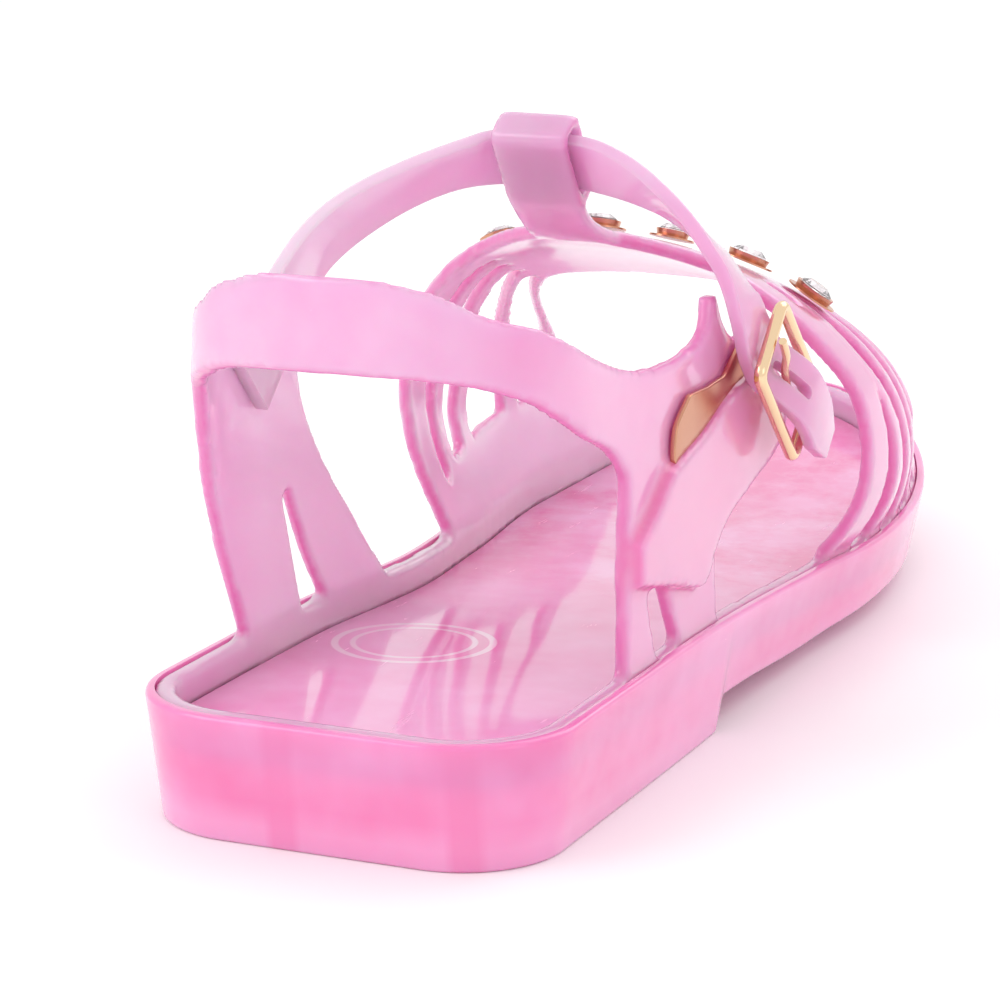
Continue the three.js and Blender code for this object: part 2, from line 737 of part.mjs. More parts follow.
// The buckle's own directions: along the strap, across it and outwards
const buckleCentre = new THREE.Vector3(0, 0.394 * soleLength, 0.748 * instepHeight);
const buckleAlong = new THREE.Vector3(0, 0.707, -0.707).normalize();
const buckleOut = new THREE.Vector3(1, 0, 0);
const buckleAcross = buckleAlong.clone().cross(buckleOut).normalize();
const buckleSide = buckleAcross.clone().negate();
const buckleWall = wallPoint(1 + (buckleCentre.y / soleLength - heelCentreAlong) / 0.4, buckleCentre.z, 0);
buckleCentre.x = buckleWall.x + buckleStandOff;

function buckleSpot(along, across, out) {
  return buckleCentre.clone()
    .addScaledVector(buckleAlong, along)
    .addScaledVector(buckleAcross, across)
    .addScaledVector(buckleOut, out);
}

// The upper: flange, quarters, back strap, ribbed vamp and T bar, moulded as one piece
function makeUpper() {
  const ribs = [
    ...outerRibs.map((rib) => makeRib(rib, outerRibGirths)),
    ...innerRibs.map((rib) => makeRib(rib, innerRibGirths)),
    lastStrip(innerSideRows, 7, 6),
  ];
  const bar = buckleSpot(buckleLength * half - buckleWire * half, 0, 0);
  const lugReach = buckleStandOff - buckleWire * half - clearance;
  const lugHalf = ankleStrapWidth * 0.3;
  const lugSolid = boxSolid(
    new THREE.Vector3(bar.x - buckleStandOff + 0.4, bar.y - lugHalf, bar.z - lugHalf),
    new THREE.Vector3(bar.x - buckleStandOff + lugReach, bar.y + lugHalf, bar.z + lugHalf),
  );
  return join([makeFlange(), makeQuarters(), makePanel(), makeTBar(), makeLoop(), ...ribs, lugSolid]);
}

// The ankle strap: it starts inside the inner quarter, passes the loop and runs through the buckle
function makeAnkleStrap() {
  const rootGap = wallThickness + clearance + ankleStrapThickness * half;
  const inside = (along, up) => {
    const place = -1 - (along - heelCentreAlong) / 0.4;
    const spot = wallPoint(place, up * ankleStrapTop, 0);
    spot.x += rootGap;
    return spot;
  };
  const top = ankleStrapTop;
  const reach = strapHeelHalfWidth;
  const underBar = -(buckleWire * half + clearance + ankleStrapThickness * half);
  const overBar = -underBar;
  const end = buckleLength * half - buckleWire * half;
  const facing = (x, y, z) => new THREE.Vector3(x, y, z).normalize();
  const free = (across, along, up) => new THREE.Vector3(across * reach, along * soleLength, up * top);
  const width = ankleStrapWidth;
  const rows = [
    { point: inside(0.145, 0.68), facing: facing(-1, 0, 0), width: width * 1.25 },
    { point: inside(0.19, 0.79), facing: facing(-1, 0, 0), width: width * 1.25 },
    { point: free(-0.85, 0.245, 0.885), facing: facing(-0.9, 0.2, 0.35), width: width * 1.15 },
    { point: free(-0.64, 0.302, 0.955), facing: facing(-0.62, 0.5, 0.55), width },
    { point: loopCentre.clone().add(new THREE.Vector3(-10, -0.8, -0.4)), facing: facing(-0.08, 0.82, 0.56), width },
    { point: loopCentre.clone(), facing: loopOut.clone(), width },
    { point: loopCentre.clone().add(new THREE.Vector3(10, -0.4, -0.6)), facing: facing(0.1, 0.82, 0.56), width },
    { point: free(0.65, 0.358, 0.945), facing: facing(0.62, 0.5, 0.55), width },
    { point: free(0.97, 0.354, 0.855), facing: facing(0.9, 0.2, 0.35), width },
    { point: free(1.13, 0.35, 0.775), facing: facing(0.98, 0.05, 0.1), width },
    { point: buckleSpot(-end, 0, underBar - 0.3), facing: buckleOut.clone(), width },
    { point: buckleSpot(-end * 0.45, 0, underBar), facing: buckleOut.clone(), width },
    { point: buckleSpot(end * 0.3, 0, overBar * 0.8), facing: buckleOut.clone(), width },
    { point: buckleSpot(end, 0, overBar), facing: buckleOut.clone(), width },
    { point: buckleSpot(end * 1.5, 0, overBar * 0.9), facing: buckleOut.clone(), width: width * 0.6 },
  ];
  const band = bandSolid(rows, ankleStrapThickness, 56, 1);
  const slotLength = 9;
  const slotWidth = prongDiameter + 2 * clearance + 0.4;
  const slotShape = new THREE.Shape(roundedRectangle(slotLength, slotWidth, slotWidth * half - 0.01, 2));
  const slot = new THREE.ExtrudeGeometry(slotShape, { depth: 12, bevelEnabled: false });
  slot.translate(0, 0, -6);
  const slotSolid = solidOf(placeFlat(slot, buckleSpot(-0.6, 0, 0), buckleAlong, buckleSide, buckleOut));
  return band.subtract(slotSolid);
}

// The buckle's wire frame: its front end is the bar that the outer quarter holds
function makeBuckleFrame() {
  const wire = buckleWire * half;
  const outline = roundedRectangle(buckleLength, buckleWidth, 2.4, 3);
  const inside = roundedRectangle(buckleLength - 2 * buckleWire, buckleWidth - 2 * buckleWire, 0.8, 3);
  const shape = new THREE.Shape(outline);
  shape.holes.push(new THREE.Path(inside.reverse()));
  const frame = new THREE.ExtrudeGeometry(shape, {
    depth: buckleWire * half,
    bevelEnabled: true,
    bevelThickness: wire * half,
    bevelSize: wire * 0.4,
    bevelOffset: -wire * 0.4,
    bevelSegments: 1,
  });
  frame.translate(0, 0, -wire * half);
  return solidOf(placeFlat(frame, buckleCentre, buckleAlong, buckleSide, buckleOut));
}

// The prong lies along the buckle: it passes through the strap and rests on the frame's rear end
function makeBuckleProng() {
  const radius = prongDiameter * half;
  const rest = buckleWire * half + clearance + radius;
  const end = buckleLength * half - buckleWire;
  const path = new THREE.CatmullRomCurve3([
    buckleSpot(end - clearance - 0.2, 0, -0.6),
    buckleSpot(end * 0.4, 0, -0.6),
    buckleSpot(-end * 0.3, 0, 0.4),
    buckleSpot(-end * 0.7, 0, rest * 0.8),
    buckleSpot(-end - buckleWire * half, 0, rest),
  ], false, 'centripetal');
  const section = new THREE.Shape(roundedRectangle(2 * radius, 2 * radius, radius * 0.9, 1));
  return solidOf(new THREE.ExtrudeGeometry(section, { steps: 12, extrudePath: path, bevelEnabled: false }));
}

// The clasp plate on the outer quarter: two leaf-shaped lobes that come out from behind the band
function makeClaspPlate() {
  const rows = [
    { along: 0.252, up: 0.566, width: 0.012 },
    { along: 0.264, up: 0.592, width: 0.044 },
    { along: 0.284, up: 0.612, width: 0.056 },
    { along: 0.312, up: 0.634, width: 0.036 },
    { along: 0.342, up: 0.652, width: 0.026 },
    { along: 0.372, up: 0.676, width: 0.04 },
    { along: 0.4, up: 0.69, width: 0.044 },
    { along: 0.424, up: 0.694, width: 0.012 },
  ];
  const bandRows = rows.map((row) => {
    const turn = 1 + (row.along - heelCentreAlong) / 0.4;
    const spot = wallPoint(turn, row.up * backStrapTop, 0);
    spot.x += clearance + claspThickness * half;
    return { point: spot, facing: new THREE.Vector3(1, 0, 0), width: row.width * soleLength };
  });
  const plate = bandSolid(bandRows, claspThickness, 20, 2);
  const cover = sidePrism(outerBand.outline, 1);
  return plate.subtract(cover).subtract(cover.translate([0, -clearance, clearance]));
}

// The row of stones along the panel, from its inner end to its outer end
const stoneRows = [
  { girth: -0.25, along: 0.5, diameter: largeStone },
  { girth: -0.13, along: 0.488, diameter: smallStone },
  { girth: -0.01, along: 0.486, diameter: largeStone },
  { girth: 0.11, along: 0.502, diameter: smallStone },
  { girth: 0.225, along: 0.526, diameter: largeStone },
  { girth: 0.335, along: 0.548, diameter: largeStone },
];
const stoneFacets = 8;
const settingSides = 12;
const seatLift = 0.8;

// Turn a profile of radius and height about the panel's normal and set it on the panel
function turnOnPanel(row, profile, sides) {
  const y = row.along * soleLength;
  const normal = lastNormal(y, row.girth);
  const seat = lastPoint(y, row.girth).addScaledVector(normal, seatLift);
  const turned = new THREE.LatheGeometry(profile.map(([x, z]) => new THREE.Vector2(x, z)), sides);
  turned.applyQuaternion(new THREE.Quaternion().setFromUnitVectors(new THREE.Vector3(0, 1, 0), normal));
  turned.translate(seat.x, seat.y, seat.z);
  return solidOf(turned);
}

function makeSetting(row) {
  const radius = row.diameter * half;
  return turnOnPanel(row, [
    [0, 0], [radius + settingBrim, 0], [radius + settingBrim, settingWall * half],
    [radius + settingWall * half, settingWall * half], [radius + settingWall, settingHeight],
    [radius + clearance, settingHeight], [radius * 0.6, settingWall], [0, settingWall],
  ], settingSides);
}

function makeStone(row) {
  const radius = row.diameter * half;
  const pavilion = settingWall + clearance;
  return turnOnPanel(row, [
    [0, pavilion], [radius * 0.5, pavilion], [radius * 0.97, settingHeight],
    [radius * 0.97, settingHeight + clearance], [radius * 0.6, settingHeight + stoneCrown],
    [0, settingHeight + stoneCrown],
  ], stoneFacets);
}

const pinkJelly = new THREE.MeshStandardMaterial({ color: 0xf09ccb, roughness: 0.25, metalness: 0 });
const paleJelly = new THREE.MeshStandardMaterial({ color: 0xf5c4e0, roughness: 0.25, metalness: 0 });
const goldMetal = new THREE.MeshStandardMaterial({ color: 0xe9c08e, roughness: 0.2, metalness: 1 });
const roseMetal = new THREE.MeshStandardMaterial({ color: 0xb87355, roughness: 0.3, metalness: 1 });
const clearStone = new THREE.MeshStandardMaterial({ color: 0xf6dfe8, roughness: 0.05, metalness: 0 });

const sandal = new THREE.Group();

function place(name, solid, material) {
  const mesh = new THREE.Mesh(geometryOf(solid), material);
  mesh.name = name;
  sandal.add(mesh);
}

place('sole', makeSole(), pinkJelly);
place('insole', makeInsole(), paleJelly);
place('upper', makeUpper(), paleJelly);
place('ankle_strap', makeAnkleStrap(), paleJelly);
place('buckle_frame', makeBuckleFrame(), goldMetal);
place('buckle_prong', makeBuckleProng(), goldMetal);
place('clasp_plate', makeClaspPlate(), roseMetal);
stoneRows.forEach((row, i) => {
  place(`setting_${i + 1}`, makeSetting(row), roseMetal);
  place(`stone_${i + 1}`, makeStone(row), clearStone);
});

export default sandal;
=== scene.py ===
# A moulded jelly sandal for a right foot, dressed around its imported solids.
# X points to the outer side of the foot, Y to the toe and Z up, with the heel's back at y = 0.

import math

import bmesh
import bpy
import numpy as np
from mathutils import Matrix, Vector
from mathutils.bvhtree import BVHTree


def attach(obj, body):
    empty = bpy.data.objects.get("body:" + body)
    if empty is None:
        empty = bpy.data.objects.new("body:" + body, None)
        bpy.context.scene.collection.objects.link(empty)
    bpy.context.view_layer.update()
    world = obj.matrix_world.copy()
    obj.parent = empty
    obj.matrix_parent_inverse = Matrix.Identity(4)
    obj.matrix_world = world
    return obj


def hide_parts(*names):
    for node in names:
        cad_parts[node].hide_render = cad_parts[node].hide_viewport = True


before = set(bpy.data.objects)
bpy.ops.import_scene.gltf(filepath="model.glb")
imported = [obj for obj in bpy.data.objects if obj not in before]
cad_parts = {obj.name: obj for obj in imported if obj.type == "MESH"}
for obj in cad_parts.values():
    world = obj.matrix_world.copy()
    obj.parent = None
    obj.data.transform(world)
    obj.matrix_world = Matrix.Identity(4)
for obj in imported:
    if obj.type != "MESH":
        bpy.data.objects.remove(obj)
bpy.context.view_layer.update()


# Sole
# One injection moulding of glossy pink vinyl. It has a raised rim round a tray for the footbed,
# a hollow heel block with two pegs, and shallow pockets between the ribs of the forefoot's tread.
mm = 0.001
sole_length = 250
heel_half_width = 35.8
heel_corner_radius = 19
ball_outer_width = 38
ball_inner_width = 42.4
toe_tip_across = -13
toe_fullness = 2.1
heel_rim_height = 20.6
fore_rim_height = 16.8
toe_spring = 8
heel_length = 84
breast_length = 4
arch_rise = 5.5
side_edge_rise = 3.8
crown_inset = 13
side_draft = 2.3
bottom_rounding = 0.7
rim_rounding = 0.9
rim_lip_width = 1.5
lip_draft = 0.02
lip_edge = 0.2
footbed_drop = 5
insole_thickness = 1.2
gap = 0.3
plate_thickness = 3
hollow_wall = 6.5
peg_radius = 2.75
peg_spacing = 29
peg_from_back = 24
peg_lift = 3.5
peg_sides = 20
pocket_depth = 3.5
pocket_rib_width = 6
pocket_rows = 4
pocket_columns = 3

# Half widths of the sole's two sides: shares of the heel's half width and of the ball's width
outer_edge = {
    "along": (0.076, 0.24, 0.4, 0.53, 0.63),
    "heel": (1, 1.005, 0.5, 0.2, 0),
    "ball": (0, 0, 0.475, 0.775, 1),
}
inner_edge = {
    "along": (0.076, 0.24, 0.4, 0.53, 0.7),
    "heel": (1, 0.985, 0.6, 0.2, 0),
    "ball": (0, 0, 0.285, 0.715, 1),
}


def read_table(table, key, at, column):
    """Read one column of a table smoothly between its rows"""
    keys = table[key]
    values = table[column]
    last = len(keys) - 1
    if at <= keys[0]:
        return values[0]
    if at >= keys[last]:
        return values[last]
    after = 1
    while keys[after] <= at:
        after += 1
    start = after - 1
    low = max(start - 1, 0)
    high = min(after + 1, last)
    span = keys[after] - keys[start]
    share = (at - keys[start]) / span
    start_slope = 0
    if start > 0:
        start_slope = (values[after] - values[low]) / (keys[after] - keys[low])
    end_slope = 0
    if after < last:
        end_slope = (values[high] - values[start]) / (keys[high] - keys[start])
    square = share * share
    cube = square * share
    from_start = (2 * cube - 3 * square + 1) * values[start]
    from_start += (cube - 2 * square + share) * span * start_slope
    from_end = (3 * square - 2 * cube) * values[after]
    from_end += (cube - square) * span * end_slope
    return from_start + from_end


def ease(start, end, at):
    share = min(max((at - start) / (end - start), 0), 1)
    return share * share * (3 - 2 * share)


def edge_across(y, side):
    """Where the sole's outline lies across, on the outer (1) or inner (-1) side"""
    table = outer_edge if side > 0 else inner_edge
    ball = ball_outer_width if side > 0 else ball_inner_width
    ball_along = table["along"][-1] * sole_length
    if y < heel_corner_radius:
        rise = 1 - max(y, 0) / heel_corner_radius
        return side * (heel_half_width - heel_corner_radius * (1 - math.sqrt(1 - rise * rise)))
    if y <= ball_along:
        heel_share = read_table(table, "along", y / sole_length, "heel")
        ball_share = read_table(table, "along", y / sole_length, "ball")
        return side * (heel_share * heel_half_width + ball_share * ball)
    reach = min((y - ball_along) / (sole_length - ball_along), 1)
    spread = (1 - reach ** toe_fullness) ** (1 / toe_fullness)
    return toe_tip_across + (side * ball - toe_tip_across) * spread


def toe_lift(y):
    share = max(y - 0.72 * sole_length, 0) / (0.28 * sole_length)
    return toe_spring * share ** 2


def rim_height(y):
    fall = ease(0.24 * sole_length, 0.66 * sole_length, y)
    return heel_rim_height + (fore_rim_height - heel_rim_height) * fall + toe_lift(y)


def footbed_height(y):
    return rim_height(y) - footbed_drop


def tray_height(y):
    return footbed_height(y) - insole_thickness - gap


def underside_edge(y):
    step = ease(heel_length, heel_length + breast_length, y)
    settle = ease(heel_length + breast_length, 0.52 * sole_length, y)
    return step * (arch_rise + (side_edge_rise - arch_rise) * settle) + toe_lift(y)


def underside_middle(y):
    step = ease(heel_length, heel_length + breast_length, y)
    settle = ease(heel_length + breast_length, 0.54 * sole_length, y)
    return step * arch_rise * (1 - settle) + toe_lift(y)


def sole_stations():
    """Distances from the heel at which the outline is divided, close together at its round ends"""
    corner_steps = 18
    side_step = 2.5
    toe_steps = 44
    ball_start = 0.7 * sole_length
    side_steps = round((ball_start - heel_corner_radius) / side_step)
    turn = math.pi / 2
    side_run = ball_start - heel_corner_radius
    toe_run = sole_length - ball_start
    corner = [heel_corner_radius * (1 - math.cos(i / corner_steps * turn)) for i in range(corner_steps)]
    side = [heel_corner_radius + side_run * i / side_steps for i in range(side_steps)]
    toe = [ball_start + toe_run * math.sin(i / toe_steps * turn) for i in range(toe_steps)]
    breast = [heel_length, heel_length + breast_length / 2, heel_length + breast_length]
    return sorted(corner + side + toe + breast + [sole_length - 0.02])


stations = sole_stations()


def sole_ring(inset, height_at):
    """One ring round the sole's outline, moved inwards and set at a height"""
    outer = [(edge_across(y, 1), y) for y in stations]
    inner = [(edge_across(y, -1), y) for y in reversed(stations)]
    loop = np.array(outer + inner)
    ahead = np.roll(loop, -1, axis=0) - loop
    behind = loop - np.roll(loop, 1, axis=0)
    run = ahead / np.linalg.norm(ahead, axis=1, keepdims=True)
    run += behind / np.linalg.norm(behind, axis=1, keepdims=True)
    run /= np.linalg.norm(run, axis=1, keepdims=True)
    across = loop[:, 0] - run[:, 1] * inset
    along = loop[:, 1] + run[:, 0] * inset
    heights = [height_at(y) for y in loop[:, 1]]
    return np.column_stack([across, along, heights])


def ring_faces(rings, count, closed=False):
    """Faces between a stack of rings, and back to the first one if the stack is closed"""
    faces = []
    for ring in range(rings if closed else rings - 1):
        start = ring * count
        above = (ring + 1) % rings * count
        for i in range(count):
            j = (i + 1) % count
            faces.append((start + i, start + j, above + j, above + i))
    return faces


def end_faces(rings, count):
    return [list(reversed(range(count))), list(range((rings - 1) * count, rings * count))]


def skin_rings(rings):
    """Points and faces of a stack of rings, closed by strips from side to side"""
    count = len(rings[0])
    faces = ring_faces(len(rings), count)
    top = (len(rings) - 1) * count
    for i in range(count // 2 - 1):
        j = count - 1 - i
        faces.append((i, j, j - 1, i + 1))
        faces.append((top + i, top + i + 1, top + j - 1, top + j))
    return np.concatenate(rings), faces


def add_piece(name, mesh):
    piece = bpy.data.objects.new(name, mesh)
    bpy.context.scene.collection.objects.link(piece)
    return piece


def new_piece(name, points, faces, cut=()):
    """A mesh object from points in millimetres. Faces listed in cut get the second material index"""
    mesh = bpy.data.meshes.new(name)
    mesh.from_pydata((np.asarray(points) * mm).tolist(), [], [list(face) for face in faces])
    mesh.materials.append(None)
    mesh.materials.append(None)
    for i in cut:
        mesh.polygons[i].material_index = 1
    mesh.validate()
    return add_piece(name, mesh)


def settle_modifiers(piece):
    """Turn a piece and its modifiers into one plain mesh"""
    bpy.context.view_layer.update()
    graph = bpy.context.evaluated_depsgraph_get()
    mesh = bpy.data.meshes.new_from_object(piece.evaluated_get(graph))
    piece.modifiers.clear()
    piece.data = mesh


def shape_with(piece, tool, operation):
    """Cut a piece with a tool, or keep what both share, and put the tool away"""
    change = piece.modifiers.new(operation, "BOOLEAN")
    change.operation = operation
    change.solver = "EXACT"
    change.object = tool
    settle_modifiers(piece)
    bpy.data.objects.remove(tool)


def smooth_faces(piece, angle):
    """Smooth shading that stays crisp where faces meet at more than the angle in degrees"""
    for face in piece.data.polygons:
        face.use_smooth = True
    piece.data.set_sharp_from_angle(angle=math.radians(angle))


def box_tool(name, boxes):
    """One cutting tool from boxes given by their lowest and highest corners"""
    points = []
    faces = []
    for low, high in boxes:
        start = len(points)
        for x in (low[0], high[0]):
            for y in (low[1], high[1]):
                for z in (low[2], high[2]):
                    points.append((x, y, z))
        for quad in ((0, 1, 3, 2), (4, 6, 7, 5), (0, 4, 5, 1), (2, 3, 7, 6), (0, 2, 6, 4), (1, 5, 7, 3)):
            faces.append([start + corner for corner in quad])
    return new_piece(name, points, faces)


def prism(name, low, high):
    """A closed bar between two outlines of as many points, with its faces pointing out"""
    count = len(low)
    faces = ring_faces(2, count) + end_faces(2, count)
    bar = new_piece(name, list(low) + list(high), faces, range(len(faces)))
    bm = bmesh.new()
    bm.from_mesh(bar.data)
    bmesh.ops.recalc_face_normals(bm, faces=bm.faces)
    bm.to_mesh(bar.data)
    bm.free()
    return bar


def circle(radius, sides):
    angles = [2 * math.pi * i / sides for i in range(sides)]
    return [(radius * math.cos(angle), radius * math.sin(angle)) for angle in angles]


def upright_bar(name, across, along, low, high, radius, sides):
    """A round bar that stands upright"""
    ring = circle(radius, sides)
    ends = [[(across + x, along + y, z) for x, y in ring] for z in (low, high)]
    return prism(name, *ends)


def join_pieces(pieces, name):
    """Join several pieces into one new piece, and remove them"""
    bm = bmesh.new()
    for piece in pieces:
        bm.from_mesh(piece.data)
    mesh = bpy.data.meshes.new(name)
    bm.to_mesh(mesh)
    bm.free()
    mesh.materials.append(None)
    mesh.materials.append(None)
    for piece in pieces:
        bpy.data.objects.remove(piece)
    return add_piece(name, mesh)


def quarter_round(steps):
    """Cosines and sines of the angles along a quarter round, its start included"""
    angles = [i / steps * math.pi / 2 for i in range(steps + 1)]
    return [(math.cos(angle), math.sin(angle)) for angle in angles]


def sole_rings():
    rings = [sole_ring(crown_inset, underside_middle)]
    for cosine, sine in quarter_round(4):
        inset = side_draft + bottom_rounding * (1 - sine)
        lift = bottom_rounding * (1 - cosine)
        rings.append(sole_ring(inset, lambda y, lift=lift: underside_edge(y) + lift))
    wall_steps = 6
    for i in range(1, wall_steps):
        share = i / wall_steps
        inset = side_draft * (1 - share)

        def wall_height(y, share=share):
            low = underside_edge(y) + bottom_rounding
            return low + (rim_height(y) - rim_rounding - low) * share

        rings.append(sole_ring(inset, wall_height))
    for cosine, sine in quarter_round(4):
        inset = rim_rounding * (1 - cosine)
        drop = rim_rounding * (1 - sine)
        rings.append(sole_ring(inset, lambda y, drop=drop: rim_height(y) - drop))
    rings.append(sole_ring(rim_lip_width, rim_height))
    rings.append(sole_ring(rim_lip_width + lip_draft / 2, lambda y: rim_height(y) - lip_edge))
    rings.append(sole_ring(rim_lip_width + lip_draft, tray_height))
    return rings


def heel_hollow_tool():
    """The room inside the heel block, with a flat front"""
    front = heel_length - hollow_wall
    ring = sole_ring(hollow_wall, tray_height)
    outline = [point for point in ring if point[1] < front - 1]
    crossings = [i for i in range(1, len(outline)) if outline[i][0] * outline[i - 1][0] < 0]
    middle = next(i for i in crossings if outline[i][1] > front / 2)
    outer = outline[:middle]
    inner = outline[middle:]
    outline = outer + [np.array((outer[-1][0], front, 0)), np.array((inner[0][0], front, 0))] + inner
    roof = [(x, y, tray_height(y) - plate_thickness) for x, y, _ in outline]
    floor = [(x, y, -2) for x, y, _ in outline]
    return prism("hollow", floor, roof)


def pocket_boxes():
    start = 0.58 * sole_length
    end = 0.86 * sole_length
    left = -0.66 * ball_inner_width
    right = 0.6 * ball_outer_width
    pitch_along = (end - start) / pocket_rows
    pitch_across = (right - left) / pocket_columns
    rib = pocket_rib_width / 2
    boxes = []
    for row in range(pocket_rows):
        for column in range(pocket_columns):
            low = (left + column * pitch_across + rib, start + row * pitch_along + rib, -2)
            depth = toe_lift(start + (row + 0.5) * pitch_along) + pocket_depth
            high = (low[0] + pitch_across - 2 * rib, low[1] + pitch_along - 2 * rib, depth)
            boxes.append((low, high))
    return boxes


sole_block = new_piece("sole_block", *skin_rings(sole_rings()))
shape_with(sole_block, heel_hollow_tool(), "DIFFERENCE")
shape_with(sole_block, box_tool("pockets", pocket_boxes()), "DIFFERENCE")
pegs = []
for side in (-1, 1):
    spot = (side * peg_spacing / 2, peg_from_back)
    pegs.append(upright_bar("peg", *spot, peg_lift, tray_height(peg_from_back) - 1, peg_radius, peg_sides))
sole = join_pieces([sole_block, *pegs], "sole_moulding")
smooth_faces(sole, 35)


def set_sockets(node, values):
    for label, value in values.items():
        node.inputs[label].default_value = value


def new_material(name, **values):
    """A node material, its tree and its shader, with plain values on the shader's own sockets"""
    material = bpy.data.materials.new(name)
    material.use_nodes = True
    shader = material.node_tree.nodes["Principled BSDF"]
    set_sockets(shader, {label.replace("_", " "): value for label, value in values.items()})
    return material, material.node_tree, shader


def dress(piece, material):
    """Give every face of a piece one material"""
    piece.data.materials.clear()
    piece.data.materials.append(material)
    for face in piece.data.polygons:
        face.material_index = 0


def new_group(name, inputs, outputs):
    """A shader node group with named inputs and outputs"""
    group = bpy.data.node_groups.new(name, "ShaderNodeTree")
    for label, kind, value in inputs:
        socket = group.interface.new_socket(name=label, in_out="INPUT", socket_type=kind)
        socket.default_value = value
    for label, kind in outputs:
        group.interface.new_socket(name=label, in_out="OUTPUT", socket_type=kind)
    start = group.nodes.new("NodeGroupInput")
    end = group.nodes.new("NodeGroupOutput")
    return group, start.outputs, end.inputs


def add_node(tree, kind, **settings):
    """A node with its settings, and with values for the inputs that are named in them"""
    node = tree.nodes.new(kind)
    set_sockets(node, settings.pop("inputs", {}))
    for label, value in settings.items():
        setattr(node, label, value)
    return node


def blend_colours(tree, factor, first, second):
    """Blend two colours, given as plain colours or as sockets, by a socket"""
    blend = add_node(tree, "ShaderNodeMix", data_type="RGBA")
    tree.links.new(factor, blend.inputs["Factor"])
    for label, colour in (("A", first), ("B", second)):
        socket = [s for s in blend.inputs if s.name == label and s.type == "RGBA"][0]
        if isinstance(colour, tuple):
            socket.default_value = colour
        else:
            tree.links.new(colour, socket)
    return [s for s in blend.outputs if s.type == "RGBA"][0]


def remap(tree, value, low, high, start, end):
    """Carry a value from one range to another"""
    change = add_node(tree, "ShaderNodeMapRange")
    tree.links.new(value, change.inputs["Value"])
    for label, bound in (("From Min", low), ("From Max", high), ("To Min", start), ("To Max", end)):
        change.inputs[label].default_value = bound
    return change.outputs["Result"]


def combine(tree, operation, first, second):
    """Multiply or add two sockets"""
    node = add_node(tree, "ShaderNodeMath", operation=operation)
    tree.links.new(first, node.inputs[0])
    tree.links.new(second, node.inputs[1])
    return node.outputs[0]


def stripe(tree, value, low, high, soft):
    """1 where a value lies between two bounds, with soft ends"""
    rise = remap(tree, value, low - soft, low, 0, 1)
    return combine(tree, "MULTIPLY", rise, remap(tree, value, high, high + soft, 1, 0))


def object_place(tree):
    """The place on the object, and its distances across (X), along (Y) and up (Z)"""
    spot = add_node(tree, "ShaderNodeTexCoord").outputs["Object"]
    split = add_node(tree, "ShaderNodeSeparateXYZ")
    tree.links.new(spot, split.inputs["Vector"])
    return spot, split.outputs


def moulded_skin_group():
    """Slight flow marks, fine scuffs and handling haze of a glossy moulding"""
    inputs = (("Ripple Size", "NodeSocketFloat", 90), ("Scuff Amount", "NodeSocketFloat", 0.25),
              ("Base Roughness", "NodeSocketFloat", 0.16))
    outputs = (("Roughness", "NodeSocketFloat"), ("Height", "NodeSocketFloat"), ("Cloud", "NodeSocketFloat"))
    group, start, end = new_group("moulded_skin", inputs, outputs)
    spot = add_node(group, "ShaderNodeTexCoord").outputs["Object"]
    ripple = add_node(group, "ShaderNodeTexNoise", inputs={"Detail": 2, "Roughness": 0.45})
    cloud = add_node(group, "ShaderNodeTexNoise", inputs={"Scale": 38, "Detail": 3, "Roughness": 0.55})
    scuff = add_node(group, "ShaderNodeTexNoise", inputs={"Scale": 420, "Detail": 4, "Roughness": 0.7})
    stretch = add_node(group, "ShaderNodeMapping")
    set_sockets(stretch, {"Scale": (1, 0.16, 1), "Rotation": (0.2, 0.1, 0.7)})
    links = group.links
    links.new(spot, ripple.inputs["Vector"])
    links.new(start["Ripple Size"], ripple.inputs["Scale"])
    links.new(spot, cloud.inputs["Vector"])
    links.new(spot, stretch.inputs["Vector"])
    links.new(stretch.outputs["Vector"], scuff.inputs["Vector"])
    marks = remap(group, scuff.outputs["Fac"], 0.6, 0.85, 0, 1)
    haze = remap(group, cloud.outputs["Fac"], 0.35, 0.7, 0, 0.06)
    worn = combine(group, "MULTIPLY", marks, start["Scuff Amount"])
    rough = combine(group, "ADD", combine(group, "ADD", start["Base Roughness"], haze), worn)
    links.new(rough, end["Roughness"])
    links.new(ripple.outputs["Fac"], end["Height"])
    links.new(cloud.outputs["Fac"], end["Cloud"])
    return group


moulded_skin = moulded_skin_group()


def use_skin(material, ripple_size, scuffs, roughness, depth):
    """Link the moulded skin to a material's roughness and bump, and give its cloud mask"""
    tree = material.node_tree
    shader = tree.nodes["Principled BSDF"]
    skin = add_node(tree, "ShaderNodeGroup", node_tree=moulded_skin)
    set_sockets(skin, {"Ripple Size": ripple_size, "Scuff Amount": scuffs, "Base Roughness": roughness})
    bump = add_node(tree, "ShaderNodeBump", inputs={"Strength": 0.5, "Distance": depth})
    tree.links.new(skin.outputs["Roughness"], shader.inputs["Roughness"])
    tree.links.new(skin.outputs["Height"], bump.inputs["Height"])
    tree.links.new(bump.outputs["Normal"], shader.inputs["Normal"])
    return skin.outputs["Cloud"]


